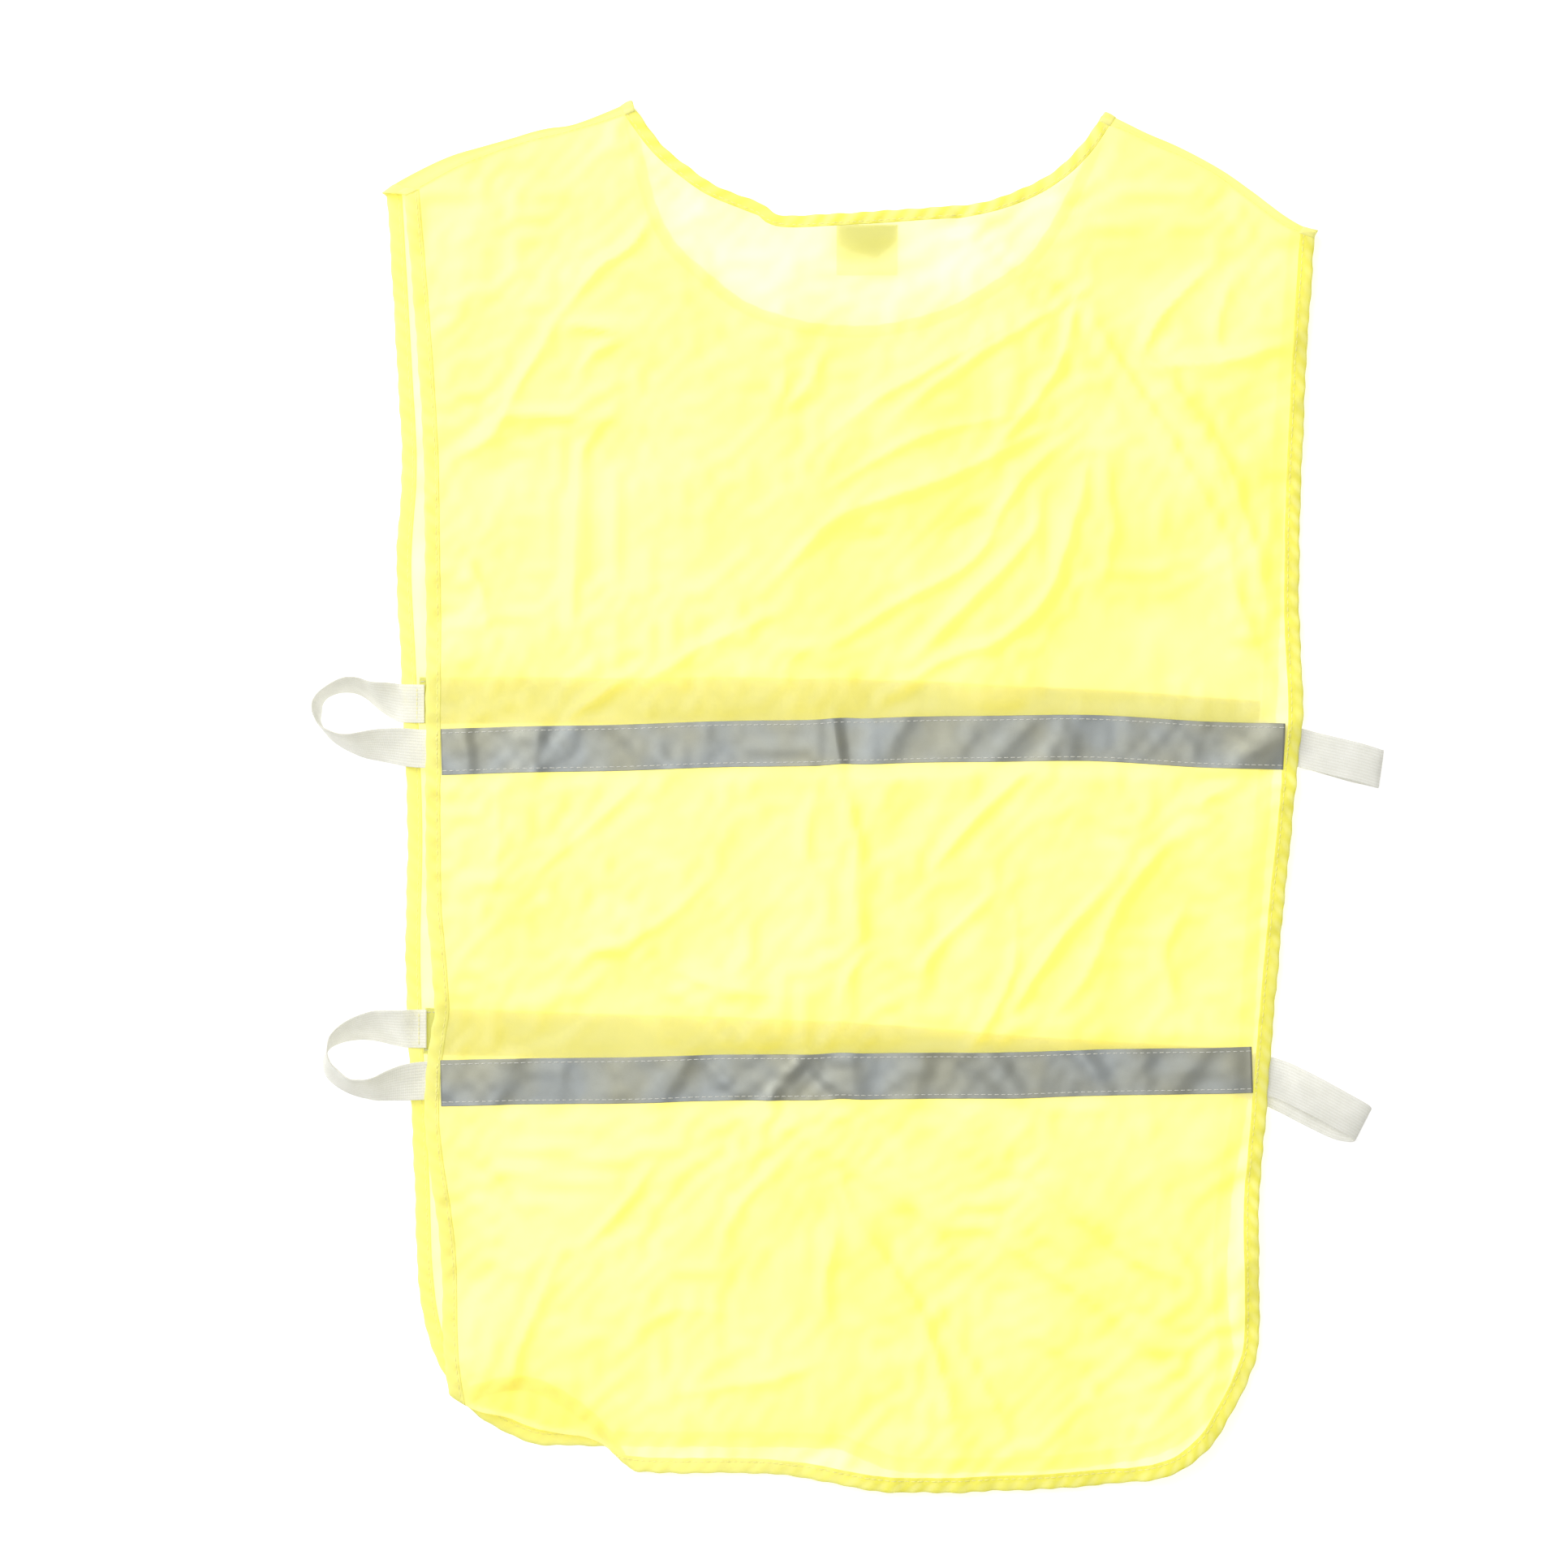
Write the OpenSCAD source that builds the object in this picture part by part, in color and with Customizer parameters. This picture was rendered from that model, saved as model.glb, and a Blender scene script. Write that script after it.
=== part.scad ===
// High visibility tabard, lying flat with its back layer on top.
// Two panels of thin fabric are joined at the shoulders, bound all round with folded tape,
// carry two reflective tapes each and are tied to each other at the sides by four elastic loops.
// Millimetres. +Z is up, +Y points to the neck, and the vest lies on z = 0.

/* [Layers] */
// Thickness of a fabric panel
fabric_t = 0.5; // [0.3:0.1:0.8]
// Free height between the two panels
layer_gap = 7.1; // [6.6:0.1:8]

/* [Binding] */
// Visible width of the binding along the sides and hem
binding_w = 8; // [6:0.5:9]
// Visible width of the binding round the necklines
neck_binding_w = 6.5; // [5:0.5:8]
// Thickness of one fold of the binding
binding_t = 0.4; // [0.2:0.1:0.4]

/* [Reflective tape] */
// Width of a reflective tape
tape_w = 25; // [20:1:30]
// Thickness of a reflective tape
tape_t = 0.4; // [0.3:0.1:0.4]
// Distance from a tape's edge to its row of stitches
tape_stitch_in = 2.2; // [1.5:0.1:4]

/* [Elastic] */
// Width of the elastic band
elastic_w = 21; // [16:1:22]
// Thickness of the elastic band
elastic_t = 1.2; // [0.8:0.1:1.4]

/* [Label] */
// Width of the neck label
label_w = 33; // [20:1:36]
// Length of the neck label
label_l = 27; // [15:1:30]
// Thickness of the neck label
label_t = 0.3; // [0.2:0.1:0.4]
// Angle that the label droops below level
label_droop = 12; // [0:1:13]

/* [Thread] */
// Width of a line of stitches
thread_w = 0.5; // [0.3:0.1:0.8]
// Depth of a line of stitches
thread_t = 0.2; // [0.1:0.05:0.25]

/* [Hidden] */
// Steps between two points of an outline
steps = 4;

// Heights of the front layer, which lies underneath with its outer face down
front_z = tape_t;
front_top = front_z + fabric_t;
// Heights of the back layer, which lies on top with its outer face up
back_z = front_top + layer_gap;
back_top = back_z + fabric_t;

// The shoulder fold: each point is where the fabric begins to turn over, outer end then neck end
left_shoulder = [[-249, 325], [-116, 372]];
right_shoulder = [[252, 304], [136, 367]];
// Gap at the seam, where the back panel can lift away
seam_gap = 0.4;

// Outer edges of the back layer, from the left shoulder round the hem to the right shoulder
back_side_points = [
    [-241, 327], [-232, 212], [-229, 124], [-227, 36], [-226, -52], [-227, -154], [-226, -202],
    [-220, -250], [-219, -294], [-215, -322], [-205, -347], [-185, -364], [-156, -369], [-112, -366],
    [-55, -366], [-20, -369], [27, -376], [112, -374], [167, -368], [192, -354], [206, -334],
    [216, -315], [222, -292], [221, -228], [226, -177], [234, -88], [243, 11], [246, 48],
    [244, 110], [247, 210], [252, 304]
];
// Outer edge of the back neckline, from the right shoulder to the left
back_neck_points = [
    [136, 367], [126, 352], [111, 338], [90, 327], [67, 320], [43, 318], [0, 315], [-36, 314],
    [-47, 320], [-72, 330], [-87, 340], [-102, 353], [-116, 372]
];
// Outer edges of the front layer, which has slipped left and up under the back layer
front_side_points = [
    [-249, 325], [-244, 235], [-242, 178], [-245, 125], [-242, 62], [-239, -18], [-240, -90],
    [-237, -168], [-235, -213], [-233, -262], [-226, -298], [-207, -330], [-176, -349], [-144, -352],
    [-20, -353], [68, -356], [140, -352], [172, -342], [196, -318], [208, -286], [212, -228],
    [217, -160], [224, -60], [231, 30], [235, 130], [240, 220], [247, 306]
];
// Outer edge of the front neckline, which is cut lower than the back one
front_neck_points = [
    [136, 367], [122, 333], [101, 297], [86, 284], [56, 266], [26, 257], [-4, 255], [-35, 260],
    [-59, 270], [-79, 286], [-96, 303], [-107, 330], [-116, 372]
];

// Middle lines of the four reflective tapes, left to right, ending beside the bindings
back_upper_tape_line = [[-226.2 + binding_w, 24], [-7, 29], [123, 31], [243 - binding_w, 28]];
back_lower_tape_line = [[-226 + binding_w, -155], [-108, -153], [50, -151], [226 - binding_w, -148]];
front_upper_tape_line = [[-240.4 + binding_w, 52], [-7, 51], [120, 46], [230.3 - binding_w, 39]];
front_lower_tape_line = [[-237.7 + binding_w, -127], [-8, -135], [147, -146], [216.4 - binding_w, -149]];

// The hem corner that is folded under: a line across the back layer's lower left corner
fold_start = [-217, -320];
fold_end = [-111, -367];
// Height of the folded corner below its own panel
fold_drop = 1.4;

// Elastic loops: each row holds a point of the band's upper edge and one of its lower edge, both
// on its middle surface. The first row is sewn to the front panel and the last to the back panel.
front_sewn_z = front_top + binding_t + elastic_t / 2 + 0.12;
back_sewn_z = back_z - binding_t - elastic_t / 2 - 0.3;
left_upper_loop_rows = [
    [[-231.5, 60.5, front_sewn_z], [-231.5, 39.5, front_sewn_z]],
    [[-235, 60.5, front_sewn_z], [-235, 39.5, front_sewn_z]],
    [[-239, 60.6, front_sewn_z], [-239, 39.6, front_sewn_z]],
    [[-245, 60.8, 4.4], [-243.4, 40.4, 2.1]],
    [[-256, 61.6, 11.2], [-251.2, 44.5, 1.2]],
    [[-265.4, 64, 17.2], [-260.7, 52.5, 0.8]],
    [[-273.6, 63.2, 20.4], [-272.5, 56.3, 0.8]],
    [[-284.9, 56, 21.2], [-282.5, 53.1, 0.8]],
    [[-288.5, 47.8, 21.3], [-285.6, 45.5, 0.8]],
    [[-284.5, 38.4, 21.2], [-283.1, 34.2, 0.8]],
    [[-273.6, 33.5, 20.4], [-273.6, 26, 1]],
    [[-264.2, 34.4, 17.4], [-261.8, 20.7, 1.8]],
    [[-256, 36, 14.6], [-253, 18.9, 3.2]],
    [[-247, 36.7, 11.2], [-244.2, 17.2, 4.6]],
    [[-237, 36.4, 7.4], [-236.5, 15.6, 6]],
    [[-230, 36.2, back_sewn_z], [-230, 15.2, back_sewn_z]],
    [[-221, 36.2, back_sewn_z], [-221, 15.2, back_sewn_z]]
];
left_lower_loop_rows = [
    [[-228.5, -115.5, front_sewn_z], [-228.5, -136.5, front_sewn_z]],
    [[-232.5, -115.5, front_sewn_z], [-232.5, -136.5, front_sewn_z]],
    [[-237, -115.5, front_sewn_z], [-237, -136.5, front_sewn_z]],
    [[-242, -115.6, 3.8], [-241, -136, 2.1]],
    [[-250.1, -115.5, 9.4], [-247.5, -134.4, 1.2]],
    [[-261.8, -117, 14.8], [-259, -132.2, 0.8]],
    [[-273.6, -122.9, 19.2], [-270.8, -132.6, 0.8]],
    [[-279.5, -130.5, 20.9], [-280.7, -136.4, 0.8]],
    [[-280.2, -135.3, 21], [-283.4, -140, 0.8]],
    [[-280.1, -139.4, 20.6], [-284.7, -144.7, 0.8]],
    [[-274.8, -147, 19.6], [-281.9, -153.2, 0.9]],
    [[-267.7, -152.1, 19.8], [-270.7, -160.9, 1]],
    [[-259.5, -152.1, 19], [-260.7, -163.8, 1.8]],
    [[-254.8, -150.6, 17], [-256, -164.7, 2.6]],
    [[-245.3, -146.2, 12], [-245.7, -164.6, 4.4]],
    [[-236.5, -144.2, 7.6], [-236.5, -164.4, 6]],
    [[-229.5, -143.5, back_sewn_z], [-229.5, -164.5, back_sewn_z]],
    [[-220, -143.5, back_sewn_z], [-220, -164.5, back_sewn_z]]
];
right_upper_loop_rows = [
    [[222, 41, front_sewn_z], [219, 20, front_sewn_z]],
    [[227.5, 40.3, front_sewn_z], [224.5, 19.3, front_sewn_z]],
    [[233.5, 39.3, front_sewn_z], [231, 18.3, front_sewn_z]],
    [[240, 38, 1.8], [237.4, 17.2, 1.8]],
    [[254, 34.5, 1], [251, 13.8, 1]],
    [[276, 28.2, 0.9], [272, 7.6, 0.9]],
    [[286.5, 25.7, 2.2], [283.5, 5, 2.2]],
    [[289.2, 25, 4.9], [286.2, 4.3, 4.9]],
    [[286.5, 25.8, 7.6], [283.5, 5.1, 7.6]],
    [[278, 28.4, 8.8], [275, 7.7, 8.8]],
    [[262, 32.4, 8.4], [259, 11.6, 8.4]],
    [[250, 35.2, 6.9], [247.6, 14.5, 6.9]],
    [[240, 37.6, back_sewn_z], [239, 16.7, back_sewn_z]],
    [[230, 39, back_sewn_z], [230, 18, back_sewn_z]]
];
right_lower_loop_rows = [
    [[207, -140.2, front_sewn_z], [203, -160.7, front_sewn_z]],
    [[214, -141.5, front_sewn_z], [209, -162, front_sewn_z]],
    [[221.5, -143.5, 2.1], [215.5, -163.8, 2.1]],
    [[240.5, -151.5, 3.2], [232.5, -170.8, 2.4]],
    [[256.5, -160, 5], [248.1, -178.8, 2.8]],
    [[270, -167, 6.4], [262, -184.8, 3.2]],
    [[277.8, -168.8, 7.6], [270.5, -186.4, 3.6]],
    [[280.9, -169.6, 10.5], [273.6, -185.5, 5.2]],
    [[279.3, -167.2, 13.4], [272.4, -183.6, 8.4]],
    [[270.5, -161.8, 14.6], [263, -178.6, 9.6]],
    [[257, -153.8, 13], [249.5, -171.8, 8.6]],
    [[246, -148.3, 10.2], [239, -166.6, 7.2]],
    [[236, -143.8, 7], [231, -163, 6.4]],
    [[227, -140.4, back_sewn_z], [224, -160.4, back_sewn_z]],
    [[209, -137.8, back_sewn_z], [208, -158.8, back_sewn_z]]
];

// The label is sewn under the back neck binding at this middle point
label_x = 10;
label_y = 309;

// Point at share t of the span between b and c of a smooth curve through a, b, c and d
function on_curve(a, b, c, d, t) =
    0.5 * (2 * b + (c - a) * t + (2 * a - 5 * b + 4 * c - d) * t * t
    + (3 * b - a - 3 * c + d) * t * t * t);
// The smooth curve through a list of points, with n steps to each span
function curve(p, n = steps) = concat(
    [for (i = [0 : len(p) - 2], j = [0 : n - 1])
        on_curve(p[max(i - 1, 0)], p[i], p[i + 1], p[min(i + 2, len(p) - 1)], j / n)],
    [p[len(p) - 1]]
);
function unit(v) = v / norm(v);
function direction(p, i) = unit(p[min(i + 1, len(p) - 1)] - p[max(i - 1, 0)]);
function to_left(v) = [-v[1], v[0]];
// The curve moved by d to its left, which is into the fabric
function inset(p, d) = [for (i = [0 : len(p) - 1]) p[i] + d * to_left(direction(p, i))];
function reversed(p) = [for (i = [len(p) - 1 : -1 : 0]) p[i]];
function mix(a, b, t) = a + (b - a) * t;

back_side = curve(back_side_points);
back_neck = curve(back_neck_points);
front_side = curve(front_side_points);
front_neck = curve(front_neck_points);

module plate(z, t) translate([0, 0, z]) linear_extrude(t) children();

// A flat strip along a curve, between two distances to its left
module strip(p, from, to) polygon(concat(inset(p, from), reversed(inset(p, to))));

// One layer's outline, with straight shoulders between the side edge and the neckline
module panel_shape(side, neck) polygon(concat(inset(side, binding_t), inset(neck, binding_t)));

// Everything beyond the corner's fold line, when that line is moved into the fabric by shift
module beyond_fold(shift) fold_strip(shift - 100, shift);

// A strip along the fold line, between two distances into the fabric
module fold_strip(from, to) {
    along = unit(fold_end - fold_start);
    a = fold_start - 60 * along;
    b = fold_end + 60 * along;
    n = to_left(along);
    polygon([a + from * n, b + from * n, b + to * n, a + to * n]);
}

// Turns the corner over its fold line
module turned_under() {
    along = unit(fold_end - fold_start);
    translate(fold_start) mirror(to_left(along)) translate(-fold_start) children();
}

// A slab of the back layer whose lower left corner is folded under by fold_drop
module back_slab(z, t, shift = 0) {
    plate(z, t) difference() {
        children();
        beyond_fold(shift);
    }
    plate(z - fold_drop, t) difference() {
        turned_under() intersection() {
            children();
            beyond_fold(0);
        }
        beyond_fold(shift);
    }
}

// The turn of the fabric at the fold, which joins the two slabs
module fold_wall(z, t, from, to)
    plate(z - fold_drop, fold_drop + t) intersection() {
        children();
        fold_strip(from, to);
    }

// Half a tube along a shoulder, which carries the fabric from the front layer up to the back one
module shoulder_turn(ends, out) {
    run = ends[1] - ends[0];
    middle = (front_z + back_top) / 2;
    outer = (back_top - front_z) / 2;
    translate([ends[0][0], ends[0][1], middle])
        rotate([0, 0, atan2(run[1], run[0])])
            rotate([90, 0, 90])
                linear_extrude(norm(run))
                    difference() {
                        circle(outer, $fn = 48);
                        circle(outer - fabric_t, $fn = 48);
                        translate([-out * 2 * outer, 0]) square(4 * outer, center = true);
                    }
}

// Folded binding round one edge, with a slot for the panel and a groove for each row of thread
module binding(edge, z, w) difference() {
    plate(z - binding_t, fabric_t + 2 * binding_t) strip(edge, 0, w);
    plate(z, fabric_t) strip(edge, binding_t, w + 1);
    binding_thread(edge, z, w);
}

// The rows of thread on both faces of a binding
module binding_thread(edge, z, w)
    for (side = [z - binding_t, z + fabric_t + binding_t - thread_t])
        plate(side, thread_t) strip(edge, w - 1.5 - thread_w, w - 1.5);

// The two rows of stitches along a tape
module tape_rows(line) {
    p = curve(line);
    reach = tape_w / 2 - tape_stitch_in;
    for (d = [-reach, reach]) strip(p, d - thread_w / 2, d + thread_w / 2);
}

// A reflective tape with a groove for each row of thread; outer is the height of its outer face
module tape(line, z, outer) color("silver") difference() {
    plate(z, tape_t) strip(curve(line), -tape_w / 2, tape_w / 2);
    plate(outer == z ? z : outer - thread_t, thread_t) tape_rows(line);
}

// Thread of one tape: the needle thread in the tape and the bobbin thread inside the panel
module tape_thread(line, needle_z, bobbin_z) {
    plate(needle_z, thread_t) tape_rows(line);
    plate(bobbin_z, thread_t) tape_rows(line);
}

// An elastic band through its rows of edge points
module band(rows) color("ivory") {
    middle = curve([for (r = rows) (r[0] + r[1]) / 2], 2);
    width = curve([for (r = rows) r[0] - r[1]], 2);
    n = len(middle);
    polyhedron(
        points = [for (i = [0 : n - 1]) each section(middle[i], unit(width[i]), direction(middle, i))],
        faces = concat(
            [[0, 1, 2], [0, 2, 3], [4 * n - 2, 4 * n - 3, 4 * n - 4], [4 * n - 1, 4 * n - 2, 4 * n - 4]],
            [for (i = [0 : n - 2], k = [0 : 3])
                let (a = 4 * i + k, b = 4 * i + (k + 1) % 4) [a, a + 4, b + 4]],
            [for (i = [0 : n - 2], k = [0 : 3])
                let (a = 4 * i + k, b = 4 * i + (k + 1) % 4) [a, b + 4, b]]
        ),
        convexity = 6
    );
}

// Four corners of a band's cross section
function section(at, wide, ahead) = let (thick = unit(cross(ahead, wide)))
    [for (k = [[-1, -1], [1, -1], [1, 1], [-1, 1]])
        at + k[0] * wide * elastic_w / 2 + k[1] * thick * elastic_t / 2];

// A row of tack stitches across a band, centred on a point
module tack(at, z) translate([at[0], at[1], z])
    linear_extrude(thread_t) square([thread_w, elastic_w - 3], center = true);
function row_middle(row) = (row[0] + row[1]) / 2;

// Thread along a shoulder seam from binding to binding, standing on a panel
module shoulder_thread(ends, into, z) {
    along = unit(ends[1] - ends[0]);
    from = ends[0] + (binding_w + 4) * along + into;
    to = ends[1] - (neck_binding_w + 4) * along + into;
    plate(z, thread_t) polygon([
        from - thread_w / 2 * to_left(along), to - thread_w / 2 * to_left(along),
        to + thread_w / 2 * to_left(along), from + thread_w / 2 * to_left(along)
    ]);
}

module front_panel() color("yellow") {
    plate(front_z, fabric_t) panel_shape(front_side, front_neck);
    shoulder_turn(left_shoulder, 1);
    shoulder_turn([right_shoulder[1], right_shoulder[0]], 1);
}
module front_side_binding() color("gold") binding(front_side, front_z, binding_w);
module front_neck_binding() color("gold") binding(front_neck, front_z, neck_binding_w);
module front_upper_tape() tape(front_upper_tape_line, front_z - tape_t, front_z - tape_t);
module front_lower_tape() tape(front_lower_tape_line, front_z - tape_t, front_z - tape_t);
module front_side_stitching() color("khaki") binding_thread(front_side, front_z, binding_w);
module front_neck_stitching() color("khaki") binding_thread(front_neck, front_z, neck_binding_w);
module front_tape_stitching() color("white")
    for (line = [front_upper_tape_line, front_lower_tape_line])
        tape_thread(line, front_z - tape_t, front_top);

module back_shape() difference() {
    panel_shape(back_side, back_neck);
    seam_clearance(left_shoulder);
    seam_clearance(reversed(right_shoulder));
}
module back_panel() color("yellow") {
    back_slab(back_z, fabric_t, binding_t) back_shape();
    fold_wall(back_z, fabric_t, binding_t, binding_t + fabric_t) back_shape();
}
module back_side_binding() color("gold") difference() {
    union() {
        back_slab(back_z - binding_t, fabric_t + 2 * binding_t) strip(back_side, 0, binding_w);
        fold_wall(back_z - binding_t, fabric_t + 2 * binding_t, 0, binding_t)
            strip(back_side, 0, binding_w);
    }
    back_slab(back_z, fabric_t, binding_t) strip(back_side, binding_t, binding_w + 1);
    fold_wall(back_z, fabric_t, binding_t, binding_t + fabric_t)
        strip(back_side, binding_t, binding_w + 1);
    back_side_thread();
}
module back_side_thread()
    for (z = [back_z - binding_t, back_top + binding_t - thread_t])
        back_slab(z, thread_t, binding_t + fabric_t + 0.1)
            strip(back_side, binding_w - 1.5 - thread_w, binding_w - 1.5);
module back_side_stitching() color("khaki") back_side_thread();
module back_neck_binding() color("gold") binding(back_neck, back_z, neck_binding_w);
module back_neck_stitching() color("khaki") binding_thread(back_neck, back_z, neck_binding_w);
module back_upper_tape() tape(back_upper_tape_line, back_top, back_top + tape_t);
module back_lower_tape() tape(back_lower_tape_line, back_top, back_top + tape_t);
module back_tape_stitching() color("white")
    for (line = [back_upper_tape_line, back_lower_tape_line])
        tape_thread(line, back_top + tape_t - thread_t, back_z - thread_t);

// A strip along a shoulder that parts the back panel from the turned fabric
module seam_clearance(ends) {
    out = to_left(unit(ends[1] - ends[0]));
    polygon([ends[0] - seam_gap * out, ends[1] - seam_gap * out, ends[1] + 9 * out, ends[0] + 9 * out]);
}

loops = [left_upper_loop_rows, left_lower_loop_rows, right_upper_loop_rows, right_lower_loop_rows];
module front_elastic_tacks() color("khaki")
    for (rows = loops)
        tack(mix(row_middle(rows[0]), row_middle(rows[1]), 0.5), front_sewn_z + elastic_t / 2);
module back_elastic_tacks() color("khaki")
    for (rows = loops) let (n = len(rows))
        tack(mix(row_middle(rows[n - 1]), row_middle(rows[n - 2]), 0.4), back_top + binding_t);

module left_shoulder_stitching() color("khaki")
    shoulder_thread(left_shoulder, [1, -3], front_top);
module right_shoulder_stitching() color("khaki")
    shoulder_thread(right_shoulder, [-1.5, -3], front_top);

module neck_label() color("white")
    translate([label_x, label_y, back_z - binding_t - 0.3 - label_t / 2])
        rotate([label_droop, 0, 0])
            translate([-label_w / 2, -label_l, -label_t / 2]) cube([label_w, label_l, label_t]);

front_panel();
front_side_binding();
front_neck_binding();
front_upper_tape();
front_lower_tape();
front_side_stitching();
front_neck_stitching();
front_tape_stitching();
front_elastic_tacks();
back_panel();
back_side_binding();
back_neck_binding();
back_upper_tape();
back_lower_tape();
back_side_stitching();
back_neck_stitching();
back_tape_stitching();
back_elastic_tacks();
left_shoulder_stitching();
right_shoulder_stitching();
band(left_upper_loop_rows);  // left_upper_loop
band(left_lower_loop_rows);  // left_lower_loop
band(right_upper_loop_rows);  // right_upper_loop
band(right_lower_loop_rows);  // right_lower_loop
neck_label();
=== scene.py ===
"""High visibility tabard, lying flat with its back layer on top, seen from straight above.

Work is in millimetres and becomes metres when a mesh is made. Each layer is laid out flat in x and y,
with dz as the height above the middle of its own fabric. place_front and place_back then give a flat
point its real place: they lift it to the settled cloth, carry it round a shoulder and turn the hem
corner under.
"""

import bmesh
import bpy
import numpy as np
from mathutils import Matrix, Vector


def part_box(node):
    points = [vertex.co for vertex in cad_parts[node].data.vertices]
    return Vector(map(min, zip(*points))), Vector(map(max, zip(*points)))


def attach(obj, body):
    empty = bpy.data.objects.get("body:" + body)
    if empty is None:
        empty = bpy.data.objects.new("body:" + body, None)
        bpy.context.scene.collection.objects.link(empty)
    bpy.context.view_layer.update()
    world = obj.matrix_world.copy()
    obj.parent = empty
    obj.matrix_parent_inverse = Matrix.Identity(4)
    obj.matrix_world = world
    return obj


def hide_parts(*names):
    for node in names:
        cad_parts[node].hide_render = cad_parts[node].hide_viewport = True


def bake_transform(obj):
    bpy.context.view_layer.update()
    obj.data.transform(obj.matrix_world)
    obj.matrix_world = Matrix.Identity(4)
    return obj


MM = 0.001
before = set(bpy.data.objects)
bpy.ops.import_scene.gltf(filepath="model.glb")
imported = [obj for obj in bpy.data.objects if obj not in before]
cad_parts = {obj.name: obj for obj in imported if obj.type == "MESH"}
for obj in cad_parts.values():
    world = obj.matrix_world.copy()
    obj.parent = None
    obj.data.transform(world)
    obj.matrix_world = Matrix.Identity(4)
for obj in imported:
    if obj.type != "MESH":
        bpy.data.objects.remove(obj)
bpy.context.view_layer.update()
scene = bpy.context.scene
rng = np.random.default_rng(11)

# ---------------------------------------------------------------------------------------------
# Outlines, in the order of the CAD model's, with their places corrected against the photograph
# ---------------------------------------------------------------------------------------------
BACK_SIDE = [
    (-240, 327), (-231, 212), (-228.5, 124), (-228.5, 10), (-228, -55), (-226, -81), (-223.8, -112),
    (-225.7, -128), (-228.5, -150), (-229.3, -172), (-227.4, -195), (-223.5, -220), (-220, -250),
    (-219, -294), (-215, -322), (-205, -347), (-185, -364), (-156, -369), (-112, -366), (-55, -366),
    (-20, -369), (27, -376), (112, -374), (167, -368), (192, -354), (206, -334), (216, -315),
    (222, -292), (221, -228), (225, -177), (232.3, -90), (241.8, 11), (245.3, 48), (243.3, 110),
    (246, 210), (251.6, 304),
]
BACK_NECK = [
    (136, 367), (126, 352), (111, 338), (90, 327), (67, 320), (43, 318), (0, 315), (-36, 314),
    (-47, 320), (-72, 330), (-87, 340), (-102, 353), (-116, 372),
]
FRONT_SIDE = [
    (-250, 325), (-244.8, 235), (-242, 178), (-245, 125), (-242, 62), (-239, -18), (-240, -90),
    (-237, -168), (-235, -213), (-233, -262), (-226, -298), (-207, -330), (-176, -349), (-144, -352),
    (-20, -353), (2, -357), (27, -366), (68, -366.5), (112, -365), (163, -358), (188, -344.5),
    (203, -325), (208.5, -303), (206.5, -284), (205, -262), (208, -215), (217, -160), (224, -60),
    (231, 30), (235, 130), (240, 220), (247, 306),
]
FRONT_NECK = [
    (136, 367), (122, 333), (101, 297), (86, 284), (56, 266), (26, 257), (-4, 255), (-35, 260),
    (-59, 270), (-79, 286), (-96, 303), (-107, 330), (-116, 372),
]
# Each shoulder: the lower layer's straight edge, how far the fabric reaches out as it turns over, and
# its seam line on top
LEFT_EDGE = [(-249, 325), (-116, 372)]
LEFT_REACH = [
    (-251.5, 326.5), (-243, 332.8), (-216.7, 345.8), (-190, 353.8), (-165, 361), (-149.8, 363),
    (-126.9, 371.8), (-117.3, 376.2),
]
LEFT_SEAM = [
    (-241, 325), (-227.7, 332.2), (-208.8, 341.9), (-178.4, 353.3), (-150, 360.5), (-124, 369), (-116, 372),
]
RIGHT_EDGE = [(247, 306), (136, 367)]
RIGHT_REACH = [
    (253.6, 305.6), (246, 307.6), (234.5, 314.8), (216, 329), (203.5, 337.6), (179, 350.8), (158, 360),
    (138.4, 369.8),
]
RIGHT_SEAM = [(252, 303), (233, 311), (200, 336), (170, 351), (136, 366)]

BACK_UPPER_TAPE = [(-220.2, 24), (-112, 26.8), (-7, 29), (60, 31), (123, 31.5), (190, 28), (235, 26.5)]
BACK_LOWER_TAPE = [(-220.5, -155), (-108, -153), (50, -151), (218, -148)]
FRONT_UPPER_TAPE = [(-232.4, 52), (-7, 51), (120, 46), (222.3, 39)]
FRONT_LOWER_TAPE = [(-229.7, -127), (-8, -135), (147, -146), (208.4, -149)]
TAPE_W = 25.0
TAPE_STITCH_IN = 2.3  # from a tape's edge to its row of stitches
TAPE_DIP = 1.3  # how much lower a tape lies between its folds
WIDTHS = {"side": 8.0, "neck": 6.5}  # of the bindings
STITCH_LINE = 0.77  # share of a binding's width that its stitches lie at
EDGE_SPACING = 1.6
PANEL_MARGIN = 1.0  # from an outline in to the cloth's own edge

# The hem corner that is folded under, and the radius of its fold
FOLD_START, FOLD_END, FOLD_R = np.array((-217.0, -320.0)), np.array((-111.0, -367.0)), 0.75
FOLDED_PIECES = ("back_cloth", "back_side_edging", "back_side_stitches")

# Usual heights of both layers, the least height of the lower one and the least gap between them
BACK_BASE = 7.0
FRONT_BASE = 1.05
FRONT_LEAST = 0.85
LEAST_GAP = 2.5
FROM_LIGHT = (0.707, -0.707)  # the way in plan that shaded sides face
WAVE_SCALE = 0.314159  # of a wave texture whose period is one metre
SEAM_LIFT = 0.45  # of the cloth that has turned over a shoulder, above the upper layer
SHOULDER_LAP = 2.4  # how far that cloth runs on past the seam line

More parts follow.
